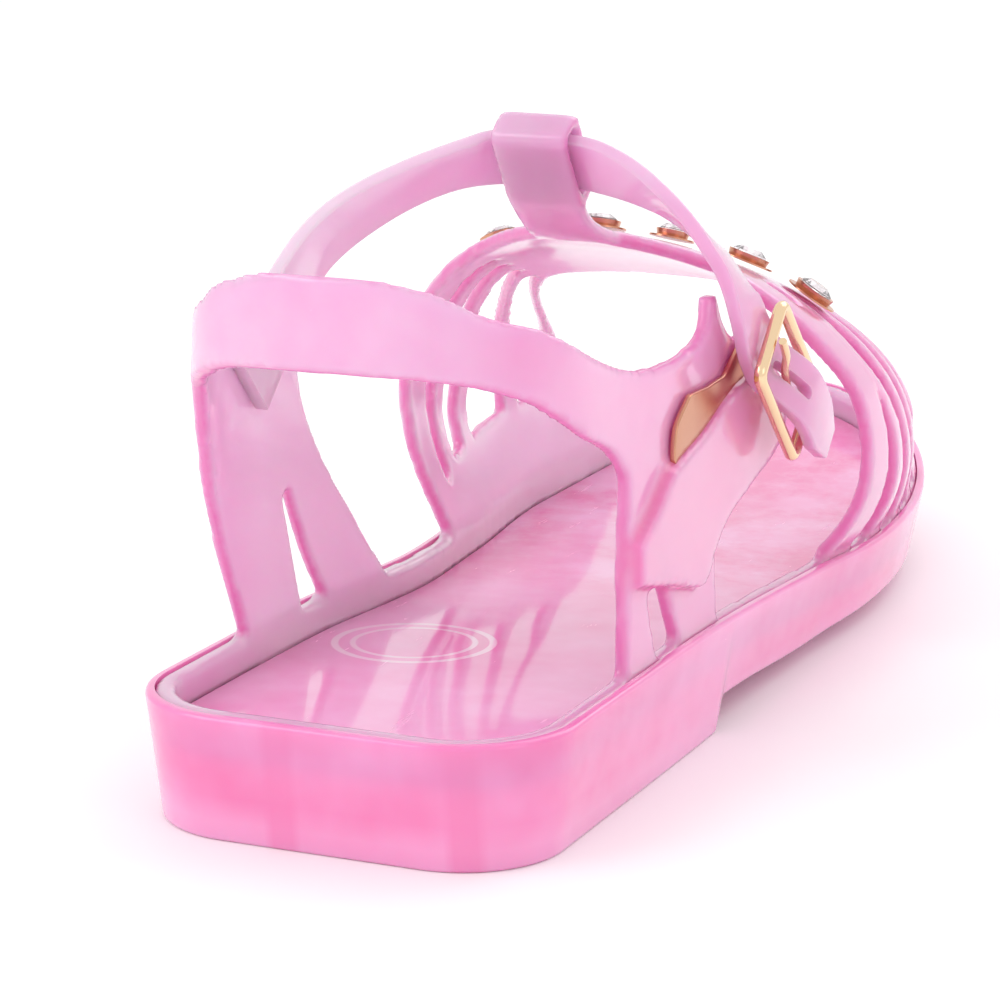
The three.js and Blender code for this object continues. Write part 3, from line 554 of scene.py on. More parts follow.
sole_vinyl, tree, shader = new_material(
    "sole_vinyl",
    Subsurface_Weight=0.4,
    Subsurface_Radius=(1, 0.35, 0.6),
    Subsurface_Scale=0.005,
    Coat_Weight=0.6,
    Coat_Roughness=0.05,
)
sole_pink = (0.88, 0.3, 0.57, 1)
sole_deep = (0.84, 0.19, 0.44, 1)
sole_pale = (0.9, 0.4, 0.66, 1)
# Places across and half width of two bars of painted shade on the heel's back wall, where the pegs inside
# show through the clear vinyl
peg_shade_bands = (-0.0058, 0.024)
peg_shade_half_width = 0.0016
cloud = use_skin(sole_vinyl, 55, 0.2, 0.14, 0.0004)
place = object_place(tree)[1]
foot_band = remap(tree, place["Z"], 0.0035, 0.0075, 0.5, 0)
tone = blend_colours(tree, remap(tree, cloud, 0.35, 0.65, 0, 1), sole_deep, sole_pink)
tone = blend_colours(tree, foot_band, tone, sole_pale)
# Painted shade: darker upright bars near the heel's back, where the pegs inside show through the wall
rear = remap(tree, place["Y"], 0.004, 0.012, 0.6, 0)
for across in peg_shade_bands:
    rib = stripe(tree, place["X"], across - peg_shade_half_width, across + peg_shade_half_width, peg_shade_half_width)
    tone = blend_colours(tree, combine(tree, "MULTIPLY", rib, rear), tone, sole_deep)
tree.links.new(tone, shader.inputs["Base Color"])
dress(sole, sole_vinyl)
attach(sole, "root")
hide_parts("sole")


# Footbed sheet
# A thin glossy sheet of the same vinyl, cut to the tray and laid in it inside the upper's flange.
flange_width = 3.1
insole_bevel = 0.4
insole_slack = 0.05


def insole_rings():
    inset = rim_lip_width + gap + flange_width + insole_slack
    rings = [sole_ring(inset, lambda y: tray_height(y) + gap)]
    for cosine, sine in quarter_round(3):
        step = insole_bevel * (1 - cosine)
        drop = insole_bevel * (1 - sine)
        rings.append(sole_ring(inset + step, lambda y, drop=drop: footbed_height(y) - drop))
    return rings


insole = new_piece("footbed_sheet", *skin_rings(insole_rings()))
smooth_faces(insole, 50)
insole_vinyl, tree, shader = new_material(
    "insole_vinyl",
    Subsurface_Weight=0.2,
    Subsurface_Radius=(1, 0.35, 0.6),
    Subsurface_Scale=0.003,
    Coat_Weight=0.45,
    Coat_Roughness=0.03,
)
bed_pink = (0.86, 0.28, 0.54, 1)
bed_pale = (0.9, 0.44, 0.7, 1)
bed_deep = (0.82, 0.18, 0.42, 1)
oval_centre = (-0.013, 0.065, 0)
oval_turn = math.radians(24)
oval_half = (0.0137, 0.0123, 1)
oval_lines = ((0.93, 1.0), (0.72, 0.77))
oval_soft = 0.02
oval_pale = (0.97, 0.82, 0.9, 1)
cloud = use_skin(insole_vinyl, 24, 0.5, 0.07, 0.0009)
spot, place = object_place(tree)
mottle = add_node(tree, "ShaderNodeTexNoise", inputs={"Scale": 55, "Detail": 5, "Roughness": 0.62})
tree.links.new(spot, mottle.inputs["Vector"])
forefoot = remap(tree, place["Y"], 0.1, 0.15, 0.15, 1)
patches = combine(tree, "MULTIPLY", remap(tree, mottle.outputs["Fac"], 0.42, 0.62, 0, 1), forefoot)
tone = blend_colours(tree, remap(tree, cloud, 0.35, 0.65, 0, 1), bed_pink, bed_pale)
tone = blend_colours(tree, patches, tone, bed_deep)
shift = add_node(tree, "ShaderNodeMapping", vector_type="TEXTURE")
set_sockets(shift, {"Location": oval_centre, "Rotation": (0, 0, oval_turn), "Scale": oval_half})
tree.links.new(spot, shift.inputs["Vector"])
flat = add_node(tree, "ShaderNodeVectorMath", operation="MULTIPLY", inputs={1: (1, 1, 0)})
tree.links.new(shift.outputs["Vector"], flat.inputs[0])
length = add_node(tree, "ShaderNodeVectorMath", operation="LENGTH")
tree.links.new(flat.outputs["Vector"], length.inputs[0])
for inside, outside in oval_lines:
    line = stripe(tree, length.outputs["Value"], inside, outside, oval_soft)
    tone = blend_colours(tree, remap(tree, line, 0, 1, 0, 0.75), tone, oval_pale)
tree.links.new(tone, shader.inputs["Base Color"])
dress(insole, insole_vinyl)
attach(insole, "root")
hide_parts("insole")


# Upper
# One milky moulding of clear pink vinyl: a flange that stands in the sole's tray, two quarters on
# two legs each, the heel strap, the ribbed vamp with its instep panel, and the T bar with its loop.
wall_thickness = 2.6
band_thickness = 2.4
back_strap_top = 89
strap_heel_half_width = 32
instep_height = 77.5
last_fullness = 2.4
crown_across = -2.5
arch_girth = 0.72
foot_girth = 0.95
inner_foot_curve = 1.3
outer_foot_curve = 2

# The last under the vamp: crown height as a share of the instep, widths as shares of the ball
last_rows = {
    "along": (0.38, 0.46, 0.54, 0.62, 0.72, 0.82),
    "crown": (1.05, 1.005, 0.93, 0.84, 0.72, 0.605),
    "inner": (0.89, 0.915, 0.985, 1.03, 1.02, 0.94),
    "outer": (1.05, 1.13, 1.155, 1.125, 0.975, 0.78),
    "inner_widest": (0.62, 0.585, 0.5, 0.45, 0.4, 0.36),
    "outer_widest": (0.52, 0.5, 0.48, 0.44, 0.39, 0.35),
}


def last_point(y, girth):
    """A point of the vamp's outer face: girth runs from -1 at the inner foot to 1 at the outer"""
    along = y / sole_length
    side = -1 if girth < 0 else 1
    turn = abs(girth)
    column = "inner_widest" if side < 0 else "outer_widest"
    widest = read_table(last_rows, "along", along, column) * instep_height
    crown = read_table(last_rows, "along", along, "crown") * instep_height
    if side > 0:
        reach = read_table(last_rows, "along", along, "outer") * ball_outer_width
    else:
        reach = read_table(last_rows, "along", along, "inner") * ball_inner_width
    if turn <= arch_girth:
        angle = turn / arch_girth * math.pi / 2
        sine = math.sin(angle)
        cosine = max(math.cos(angle), 0)
        radius = 1 / (sine ** last_fullness + cosine ** last_fullness) ** (1 / last_fullness)
        x = crown_across + (side * reach - crown_across) * sine * radius
        return np.array((x, y, widest + (crown - widest) * cosine * radius))
    foot_inset = rim_lip_width + gap + (flange_width - wall_thickness) / 2
    foot_across = edge_across(y, side) - side * foot_inset
    rim = rim_height(y) + gap
    if turn > foot_girth:
        drop = (turn - foot_girth) / (1 - foot_girth)
        return np.array((foot_across, y, rim - drop * footbed_drop / 2))
    fall = (turn - arch_girth) / (foot_girth - arch_girth)
    foot_curve = inner_foot_curve if side < 0 else outer_foot_curve
    x = side * reach + (foot_across - side * reach) * fall ** foot_curve
    return np.array((x, y, widest + (rim - widest) * fall))


def last_normal(y, girth):
    low = max(girth - 0.01, -1)
    high = min(girth + 0.01, 1)
    forward = last_point(y + 0.5, girth) - last_point(y - 0.5, girth)
    around = last_point(y, high) - last_point(y, low)
    normal = np.cross(around, forward)
    return normal / np.linalg.norm(normal)


def skin_sheet(outer_grid, inner_grid):
    """Points, faces and cut faces of a closed sheet between two grids of points"""
    outer_grid = np.asarray(outer_grid)
    inner_grid = np.asarray(inner_grid)
    rows, columns = outer_grid.shape[:2]
    points = np.concatenate([outer_grid.reshape(-1, 3), inner_grid.reshape(-1, 3)])
    shift = rows * columns
    faces = []
    for r in range(rows - 1):
        for c in range(columns - 1):
            a = r * columns + c
            d = a + columns
            faces.append((a, a + 1, d + 1, d))
            faces.append((shift + a, shift + d, shift + d + 1, shift + a + 1))
    first_cut = len(faces)
    for r in range(rows - 1):
        left = r * columns
        right = left + columns - 1
        faces.append((left, left + columns, shift + left + columns, shift + left))
        faces.append((right + columns, right, shift + right, shift + right + columns))
    end = (rows - 1) * columns
    for c in range(columns - 1):
        faces.append((c + 1, c, shift + c, shift + c + 1))
        faces.append((end + c, end + c + 1, shift + end + c + 1, shift + end + c))
    return points, faces, range(first_cut, len(faces))


def last_strip(name, table, steps, columns):
    """A strip of the vamp from a table of girths and of its rear and front edges"""
    first = table["girth"][0]
    last = table["girth"][-1]
    reaches_foot = abs(last) > foot_girth
    end = math.copysign(foot_girth, last) if reaches_foot else last
    girths = [first + (end - first) * i / steps for i in range(steps + 1)]
    if reaches_foot:
        girths.append(last)
    outer_grid = []
    inner_grid = []
    places = [(girth - first) / (last - first) for girth in table["girth"]]
    order = {"place": places, "rear": table["rear"], "front": table["front"]}
    for girth in girths:
        place = (girth - first) / (last - first)
        rear, front = (read_table(order, "place", place, edge) * sole_length for edge in ("rear", "front"))
        spots = [rear + (front - rear) * c / columns for c in range(columns + 1)]
        outer_row = [last_point(y, girth) for y in spots]
        outer_grid.append(outer_row)
        normals = [last_normal(y, girth) for y in spots]
        inner_grid.append([outer - normal * wall_thickness for outer, normal in zip(outer_row, normals)])
    return new_piece(name, *skin_sheet(outer_grid, inner_grid))


# Ribs of the vamp: rear and front edges at five girths, from the panel to the foot
outer_rib_girths = (0.26, 0.45, 0.58, 0.8, 1)
outer_ribs = (
    {"rear": (0.452, 0.488, 0.524, 0.538, 0.545), "front": (0.49, 0.53, 0.566, 0.582, 0.592)},
    {"rear": (0.502, 0.532, 0.574, 0.612, 0.628), "front": (0.52, 0.553, 0.597, 0.638, 0.656)},
    {"rear": (0.535, 0.58, 0.616, 0.672, 0.69), "front": (0.552, 0.6, 0.638, 0.698, 0.718)},
    {"rear": (0.564, 0.625, 0.662, 0.726, 0.745), "front": (0.581, 0.645, 0.684, 0.752, 0.773)},
    {"rear": (0.592, 0.668, 0.708, 0.78, 0.8), "front": (0.612, 0.692, 0.734, 0.808, 0.83)},
)
inner_rib_girths = (-0.23, -0.45, -0.6, -0.8, -1)
inner_ribs = (
    {"rear": (0.452, 0.458, 0.456, 0.452, 0.49), "front": (0.484, 0.495, 0.495, 0.494, 0.535)},
    {"rear": (0.49, 0.51, 0.518, 0.512, 0.54), "front": (0.507, 0.53, 0.54, 0.536, 0.566)},
    {"rear": (0.516, 0.55, 0.575, 0.568, 0.6), "front": (0.533, 0.57, 0.598, 0.594, 0.628)},
    {"rear": (0.543, 0.62, 0.66, 0.672, 0.69), "front": (0.56, 0.642, 0.684, 0.7, 0.718)},
    {"rear": (0.572, 0.705, 0.735, 0.745, 0.76), "front": (0.592, 0.73, 0.762, 0.775, 0.79)},
)
# The inner side's low wall, into which the inner ribs run down
inner_side_rows = {
    "girth": (-0.68, -0.75, -0.8, -0.84, -1),
    "rear": (0.745, 0.655, 0.585, 0.52, 0.49),
    "front": (0.79, 0.8, 0.81, 0.82, 0.83),
}
panel_rows = {
    "girth": (-0.27, -0.18, -0.08, 0.02, 0.12, 0.22, 0.3),
    "rear": (0.448, 0.436, 0.418, 0.412, 0.43, 0.462, 0.486),
    "front": (0.584, 0.6, 0.608, 0.61, 0.61, 0.61, 0.614),
}

# The wall behind the vamp: shares of the back strap's top against how the wall leans and rounds
wall_rows = {
    "up": (0.18, 0.45, 0.7, 0.9, 1.1),
    "side": (1, 0.6, 0.2, 0, 0),
    "corner": (3.4, 2.9, 2.5, 2.3, 2.2),
    "back": (0, 0.35, 0.8, 1, 1),
    "flare": (0, 0.5, 1, 0.55, 0.1),
}
back_strap_forward = 2.6
heel_centre_along = 0.138
quarter_flare = 0.6
wall_run = 0.4


def wall_point(place, z, inset):
    """A point of the rear wall: place runs round the heel from the inner side to the outer side"""
    up = z / back_strap_top
    follow = read_table(wall_rows, "up", up, "side")
    corner = read_table(wall_rows, "up", up, "corner")
    forward = read_table(wall_rows, "up", up, "back") * back_strap_forward
    flare = read_table(wall_rows, "up", up, "flare") * quarter_flare
    base = rim_lip_width + gap + (flange_width - wall_thickness) / 2
    centre = heel_centre_along * sole_length
    side = -1 if place < 0 else 1
    turn = abs(place)
    back_y = base + forward + inset

    def half_width(y):
        sole_side = abs(edge_across(max(y, centre), side)) - base
        spread = flare * ease(centre, 0.36 * sole_length, y) if side > 0 else 0
        return sole_side * follow + strap_heel_half_width * (1 - follow) + spread - inset

    if turn <= 1:
        angle = turn * math.pi / 2
        sine = math.sin(angle)
        cosine = max(math.cos(angle), 0)
        radius = 1 / (sine ** corner + cosine ** corner) ** (1 / corner)
        x = side * half_width(centre) * sine * radius
        return np.array((x, centre - (centre - back_y) * cosine * radius, z))
    y = centre + (turn - 1) * sole_length * wall_run
    return np.array((side * half_width(y), y, z))


def wall_sheet(name, outer_inset, inner_inset):
    bottom = heel_rim_height - footbed_drop
    top = back_strap_top + 6
    levels = 44
    turns = 90
    reach = 1.9
    places = [reach * i / turns for i in range(-turns, turns + 1)]
    grids = []
    for inset in (outer_inset, inner_inset):
        heights = [bottom + (top - bottom) * level / levels for level in range(levels + 1)]
        grids.append([[wall_point(place, z, inset) for place in places] for z in heights])
    return new_piece(name, *skin_sheet(*grids))


# Side views of the quarters with the heel strap: shares of the sole's length and the strap's top
inner_quarter = (
    (-0.02, 1), (0.02, 1), (0.034, 0.975), (0.052, 0.93), (0.08, 0.882), (0.13, 0.866), (0.21, 0.862),
    (0.225, 0.75), (0.235, 0.64), (0.262, 0.52), (0.31, 0.37), (0.375, 0.16),
    (0.292, 0.16), (0.246, 0.33), (0.217, 0.475), (0.209, 0.47), (0.214, 0.43), (0.226, 0.33), (0.247, 0.16),
    (0.174, 0.16), (0.15, 0.3), (0.115, 0.5), (0.092, 0.68), (0.08, 0.745),
    (0.055, 0.79), (0.03, 0.825), (-0.02, 0.845),
)
outer_quarter = (
    (-0.02, 1), (0.02, 1), (0.034, 0.978), (0.052, 0.935), (0.084, 0.9), (0.124, 0.845), (0.165, 0.8),
    (0.21, 0.765), (0.295, 0.76), (0.322, 0.785), (0.33, 0.835), (0.342, 0.835), (0.352, 0.785),
    (0.37, 0.745), (0.42, 0.72), (0.456, 0.58),
    (0.441, 0.51), (0.381, 0.453), (0.336, 0.413), (0.332, 0.16),
    (0.28, 0.16), (0.246, 0.33), (0.217, 0.475), (0.21, 0.47), (0.212, 0.4), (0.23, 0.16),
    (0.173, 0.16), (0.18, 0.44), (0.183, 0.52), (0.186, 0.585), (0.166, 0.64),
    (0.12, 0.7), (0.07, 0.785), (0.035, 0.825), (-0.02, 0.845),
)
outer_band = (
    (0.183, 0.395), (0.183, 0.47), (0.21, 0.51), (0.24, 0.565), (0.3, 0.61), (0.336, 0.645),
    (0.365, 0.664), (0.425, 0.66), (0.456, 0.58),
    (0.441, 0.51), (0.381, 0.453), (0.334, 0.413), (0.29, 0.32),
)
sharp_turn = 50
outline_steps = 6


def rounded_outline(outline):
    """Run a smooth line through an outline's points and keep its sharp corners"""
    spots = np.array([(along * sole_length, up * back_strap_top) for along, up in outline])
    count = len(spots)
    tangents = []
    for i in range(count):
        before = spots[i] - spots[i - 1]
        after = spots[(i + 1) % count] - spots[i]
        cosine = before @ after / (np.linalg.norm(before) * np.linalg.norm(after))
        if cosine < math.cos(math.radians(sharp_turn)):
            tangents.append(None)
            continue
        tangent = before / np.linalg.norm(before) + after / np.linalg.norm(after)
        tangents.append(tangent / np.linalg.norm(tangent))
    line = []
    for i in range(count):
        start = spots[i]
        end = spots[(i + 1) % count]
        length = np.linalg.norm(end - start)
        straight = (end - start) / length
        leave = tangents[i] if tangents[i] is not None else straight
        arrive = tangents[(i + 1) % count]
        arrive = arrive if arrive is not None else straight
        for step in range(outline_steps):
            share = step / outline_steps
            square = share * share
            cube = square * share
            spot = (2 * cube - 3 * square + 1) * start + (cube - 2 * square + share) * length * leave
            spot = spot + (3 * square - 2 * cube) * end + (cube - square) * length * arrive
            line.append(spot)
    return line


def side_tool(name, outline, side):
    """A cutting tool with the outline of a side view, on one side of the middle"""
    line = rounded_outline(outline)
    depth = ball_inner_width * 1.4
    left = 0 if side > 0 else -depth
    right = depth if side > 0 else 0
    return prism(name, [(left, y, z) for y, z in line], [(right, y, z) for y, z in line])


# Loop and T bar: the loop stands across the strap, and the bar runs from it down into the panel
ankle_strap_width = 10.6
ankle_strap_thickness = 2.4
ankle_strap_top = 93.8
loop_length = 13.6
loop_wall = 1.8
loop_slack = 0.9
t_bar_width = 13.2
loop_centre = Vector((-0.8, 0.362 * sole_length, ankle_strap_top))
loop_up = Vector((0, -0.565, 0.825)).normalized()
loop_out = Vector((0, 0.825, 0.565)).normalized()


def rounded_rectangle(width, height, radius, steps):
    corners = ((1, 1, 0), (-1, 1, 1), (-1, -1, 2), (1, -1, 3))
    points = []
    for x, y, quarter in corners:
        for i in range(steps + 1):
            angle = (quarter + i / steps) * math.pi / 2
            across = x * (width / 2 - radius) + radius * math.cos(angle)
            points.append((across, y * (height / 2 - radius) + radius * math.sin(angle)))
    return points


def make_loop():
    """The loop: a rounded frame round the strap, as long as the T bar is wide"""
    steps = 8
    slot_height = ankle_strap_width + 2 * loop_slack
    slot_depth = ankle_strap_thickness + 2 * loop_slack
    outer = rounded_rectangle(slot_depth + 2 * loop_wall, slot_height + 2 * loop_wall, loop_wall, steps)
    inner = rounded_rectangle(slot_depth, slot_height, loop_slack, steps)
    count = len(outer)
    points = []
    for across in (-loop_length / 2, loop_length / 2):
        for out, up in outer + inner:
            points.append(loop_centre + loop_out * out + loop_up * up + Vector((across, 0, 0)))
    far = 2 * count
    faces = []
    for i in range(count):
        j = (i + 1) % count
        faces.append((i, j, far + j, far + i))
        faces.append((count + j, count + i, far + count + i, far + count + j))
    first_cut = len(faces)
    for i in range(count):
        j = (i + 1) % count
        faces.append((j, i, count + i, count + j))
        faces.append((far + i, far + j, far + count + j, far + count + i))
    return new_piece("loop", points, faces, range(first_cut, len(faces)))


def curve_spot(points, share):
    """A point of the smooth curve that runs through the given points"""
    last = len(points) - 1
    place = last * share
    slot = min(int(place), last - 1)
    weight = place - slot
    p1 = points[slot]
    p2 = points[slot + 1]
    p0 = points[slot - 1] if slot > 0 else 2 * p1 - p2
    p3 = points[slot + 2] if slot + 2 <= last else 2 * p2 - p1
    d0 = max((p1 - p0).length_squared ** 0.25, 1e-4)
    d1 = max((p2 - p1).length_squared ** 0.25, 1e-4)
    d2 = max((p3 - p2).length_squared ** 0.25, 1e-4)
    start = ((p1 - p0) / d0 - (p2 - p0) / (d0 + d1) + (p2 - p1) / d1) * d1
    end = ((p2 - p1) / d1 - (p3 - p1) / (d1 + d2) + (p3 - p2) / d2) * d1
    spot = p1 + start * weight
    spot = spot + (-3 * p1 + 3 * p2 - 2 * start - end) * weight ** 2
    return spot + (2 * p1 - 2 * p2 + start + end) * weight ** 3


def sweep_band(name, rows, thickness, steps, corner):
    """A band with rounded edges through rows of (point, facing, width)"""
    points = [Vector(row[0]) for row in rows]
    facings = [Vector(row[1]) for row in rows]
    widths = [row[2] for row in rows]
    section_steps = 4
    rings = []
    for i in range(steps + 1):
        share = i / steps
        slot = min(int(share * (len(rows) - 1)), len(rows) - 2)
        part = share * (len(rows) - 1) - slot
        centre = curve_spot(points, share)
        ahead = curve_spot(points, min(share + 1e-4, 1))
        tangent = (ahead - curve_spot(points, max(share - 1e-4, 0))).normalized()
        facing = facings[slot].lerp(facings[slot + 1], part)
        facing = (facing - tangent * facing.dot(tangent)).normalized()
        across = facing.cross(tangent).normalized()
        width = widths[slot] + (widths[slot + 1] - widths[slot]) * part
        section = rounded_rectangle(width, thickness, corner, section_steps)
        rings.append([centre + across * x + facing * y for x, y in section])
    count = len(rings[0])
    flat = [point for ring in rings for point in ring]
    return new_piece(name, flat, ring_faces(steps + 1, count) + end_faces(steps + 1, count))


def make_t_bar():
    slot_half = ankle_strap_width / 2 + loop_slack
    drop = slot_half + loop_wall / 2
    set_back = ankle_strap_thickness / 2 + loop_slack + loop_wall / 2
    loop_foot = loop_centre - loop_up * drop - loop_out * set_back

    def in_panel(along):
        facing = last_normal(along * sole_length, 0.02)
        point = last_point(along * sole_length, 0.02) - facing * wall_thickness / 2
        return Vector(point), Vector(facing), t_bar_width * 1.15

    panel_rear = in_panel(0.415)
    bend = loop_foot.lerp(panel_rear[0], 0.55) + Vector((0, -0.4, -0.8))
    rows = [
        (loop_foot, loop_out, t_bar_width),
        (bend, Vector((0, 0.72, 0.7)), t_bar_width * 1.02),
        panel_rear,
        in_panel(0.44),
    ]
    return sweep_band("t_bar", rows, wall_thickness, 40, 0.5)


def flange_rings():
    outer = rim_lip_width + 0.06
    inner = outer + flange_width + 0.2
    outer_rounding = 0.25
    inner_rounding = 0.7
    rings = [sole_ring(outer, lambda y: tray_height(y) + gap)]
    for cosine, sine in quarter_round(3):
        inset = outer + outer_rounding * (1 - cosine)
        drop = outer_rounding * (1 - sine)
        rings.append(sole_ring(inset, lambda y, drop=drop: rim_height(y) - drop))
    for cosine, sine in quarter_round(4):
        inset = inner - inner_rounding * (1 - sine)
        drop = inner_rounding * (1 - cosine)
        rings.append(sole_ring(inset, lambda y, drop=drop: rim_height(y) - drop))
    rings.append(sole_ring(inner, lambda y: tray_height(y) + gap))
    return rings


def make_flange():
    rings = flange_rings()
    faces = ring_faces(len(rings), len(rings[0]), True)
    return new_piece("flange", np.concatenate(rings), faces)


upper_parts = [make_flange(), make_loop(), make_t_bar()]
for outline, side in ((inner_quarter, -1), (outer_quarter, 1)):
    quarter = wall_sheet("quarter", 0, wall_thickness)
    shape_with(quarter, side_tool("quarter_outline", outline, side), "INTERSECT")
    upper_parts.append(quarter)
band = wall_sheet("band", -band_thickness, 1)
shape_with(band, side_tool("band_outline", outer_band, 1), "INTERSECT")
upper_parts.append(band)
upper_parts.append(last_strip("panel", panel_rows, 60, 40))
for girths, ribs in ((outer_rib_girths, outer_ribs), (inner_rib_girths, inner_ribs)):
    for rib in ribs:
        upper_parts.append(last_strip("rib", {"girth": girths, **rib}, 60, 5))
upper_parts.append(last_strip("inner_side", inner_side_rows, 24, 30))
part_of_face = [i for i, part in enumerate(upper_parts) for _ in part.data.polygons]
deep_parts = (0, 1, 2)
upper = join_pieces(upper_parts, "upper_moulding")
source_faces = [tuple(face.vertices) for face in upper.data.polygons]
source_cut = [face.material_index for face in upper.data.polygons]
source_tree = BVHTree.FromPolygons([vertex.co.copy() for vertex in upper.data.vertices], source_faces)
moulded = upper.modifiers.new("moulded", "REMESH")
moulded.mode = "VOXEL"
moulded.voxel_size = 0.75 * mm
moulded.use_smooth_shade = True
soften = upper.modifiers.new("soften", "SMOOTH")
soften.factor = 0.5
soften.iterations = 9
settle_modifiers(upper)
smooth_faces(upper, 180)



def mark_upper():
    """Note on each point whether it lies on a cut edge and whether its part is of deeper pink"""
    mesh = upper.data
    cut = np.zeros(len(mesh.vertices))
    deep = np.zeros(len(mesh.vertices))
    for vertex in mesh.vertices:
        nearest = source_tree.find_nearest(vertex.co)[2]
        cut[vertex.index] = source_cut[nearest]
        deep[vertex.index] = part_of_face[nearest] in deep_parts
    edges = np.array([edge.vertices[:] for edge in mesh.edges])
    for values, rounds in ((cut, 2), (deep, 8)):
        for _ in range(rounds):
            total = values.copy()
            count = np.ones(len(values))
            for near, far in (edges.T, edges.T[::-1]):
                np.add.at(total, near, values[far])
                np.add.at(count, near, 1)
            values[:] = total / count
    for name, values in (("cut_edge", cut), ("deep_part", deep)):
        layer = mesh.attributes.new(name, "FLOAT", "POINT")
        layer.data.foreach_set("value", values.astype(np.float32))


mark_upper()

face_pink = (0.94, 0.56, 0.77, 1)
face_lilac = (0.92, 0.44, 0.7, 1)
# Pale pink of the painted light on the inner side
painted_light_pale = (0.96, 0.74, 0.86, 1)
edge_pink = (0.9, 0.26, 0.54, 1)


def upper_material(name, transmission):
    """Milky clear pink vinyl: pale on the faces, deep where the light runs along inside the wall, with
    painted shade on the outer side and painted light on the inner side
    """
    material, tree, shader = new_material(
        name,
        Transmission_Weight=transmission,
        IOR=1.45,
        Subsurface_Weight=0.8,
        Subsurface_Radius=(1, 0.6, 0.8),
        Subsurface_Scale=0.006,
        Coat_Weight=0.5,
        Coat_Roughness=0.05,
    )
    cloud = use_skin(material, 46, 0.18, 0.12, 0.0005)
    edge = add_node(tree, "ShaderNodeAttribute", attribute_name="cut_edge").outputs["Fac"]
    deep = add_node(tree, "ShaderNodeAttribute", attribute_name="deep_part").outputs["Fac"]
    tone = blend_colours(tree, remap(tree, cloud, 0.4, 0.66, 0, 0.8), face_pink, face_lilac)
    place = object_place(tree)[1]
    # Painted shade: the outer side is darkened towards the edge pink
    outer_side_shade = remap(tree, place["X"], 0.02, 0.034, 0, 0.4)
    tone = blend_colours(tree, outer_side_shade, tone, edge_pink)
    # Painted light: the inner side ahead of the heel is lightened towards a pale pink
    inner_side = remap(tree, place["X"], -0.03, -0.005, 0.8, 0)
    before_heel = remap(tree, place["Y"], 0.02, 0.045, 0, 1)
    tone = blend_colours(tree, combine(tree, "MULTIPLY", inner_side, before_heel), tone, painted_light_pale)
    tone = blend_colours(tree, remap(tree, deep, 0, 1, 0, 0.15), tone, edge_pink)
    tone = blend_colours(tree, remap(tree, edge, 0.1, 0.9, 0, 0.95), tone, edge_pink)
    tree.links.new(tone, shader.inputs["Base Color"])
    return material


upper_vinyl = upper_material("upper_vinyl", 0.25)
dress(upper, upper_vinyl)
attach(upper, "root")
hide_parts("upper")


# Ankle strap
# A flat strap of the same vinyl. It starts inside the inner quarter, runs through the loop and
# goes through the buckle, with a slot for the prong.
buckle_length = 26.5
buckle_width = 17
buckle_wire = 2.2
prong_diameter = 1.4
buckle_stand_off = 7
buckle_along = Vector((0, 0.707, -0.707)).normalized()
buckle_out = Vector((1, 0, 0))
buckle_across = buckle_along.cross(buckle_out).normalized()
buckle_centre = Vector((0, 0.394 * sole_length, 0.748 * instep_height))
buckle_turn = 1 + (buckle_centre.y / sole_length - heel_centre_along) / wall_run
buckle_centre.x = wall_point(buckle_turn, buckle_centre.z, 0)[0] + buckle_stand_off


def buckle_spot(along, across, out):
    return buckle_centre + buckle_along * along + buckle_across * across + buckle_out * out


def strap_inside(along, up):
    place = -1 - (along - heel_centre_along) / wall_run
    spot = Vector(wall_point(place, up * ankle_strap_top, 0))
    spot.x += wall_thickness + gap + ankle_strap_thickness / 2
    return spot


def strap_free(across, along, up):
    return Vector((across * strap_heel_half_width, along * sole_length, up * ankle_strap_top))


def strap_rows():
    under_bar = -(buckle_wire / 2 + gap + ankle_strap_thickness / 2)
    over_bar = -under_bar
    end = buckle_length / 2 - buckle_wire / 2
    width = ankle_strap_width
    return [
        (strap_inside(0.145, 0.68), (-1, 0, 0), width * 1.25),
        (strap_inside(0.19, 0.79), (-1, 0, 0), width * 1.25),
        (strap_free(-0.85, 0.245, 0.885), (-0.9, 0.2, 0.35), width * 1.15),
        (strap_free(-0.64, 0.302, 0.955), (-0.62, 0.5, 0.55), width),
        (loop_centre + Vector((-10, -0.8, -0.4)), (-0.08, 0.82, 0.56), width),
        (loop_centre, loop_out, width),
        (loop_centre + Vector((10, -0.4, -0.6)), (0.1, 0.82, 0.56), width),
        (strap_free(0.65, 0.358, 0.945), (0.62, 0.5, 0.55), width),
        (strap_free(0.97, 0.354, 0.855), (0.9, 0.2, 0.35), width),
        (strap_free(1.13, 0.35, 0.775), (0.98, 0.05, 0.1), width),
        (buckle_spot(-end, 0, under_bar - 0.3), buckle_out, width),
        (buckle_spot(-end * 0.45, 0, under_bar), buckle_out, width),
        (buckle_spot(end * 0.3, 0, over_bar * 0.8), buckle_out, width),
        (buckle_spot(end, 0, over_bar), buckle_out, width),
        (buckle_spot(end * 1.5, 0, over_bar * 0.9), buckle_out, width * 0.6),
    ]


strap = sweep_band("ankle_strap_moulding", strap_rows(), ankle_strap_thickness, 260, 0.45)
slot_length = 9
slot_back = 0.6
slot_reach = 6
slot_width = prong_diameter + 2 * gap + 0.4
slot_outline = rounded_rectangle(slot_length, slot_width, slot_width / 2 - 0.01, 6)
slot_ends = []
for out in (-slot_reach, slot_reach):
    slot_ends.append([buckle_spot(x - slot_back, y, out) for x, y in slot_outline])
slot_tool = prism("slot", *slot_ends)
shape_with(strap, slot_tool, "DIFFERENCE")
smooth_faces(strap, 60)
dress(strap, upper_vinyl)
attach(strap, "root")
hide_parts("ankle_strap")
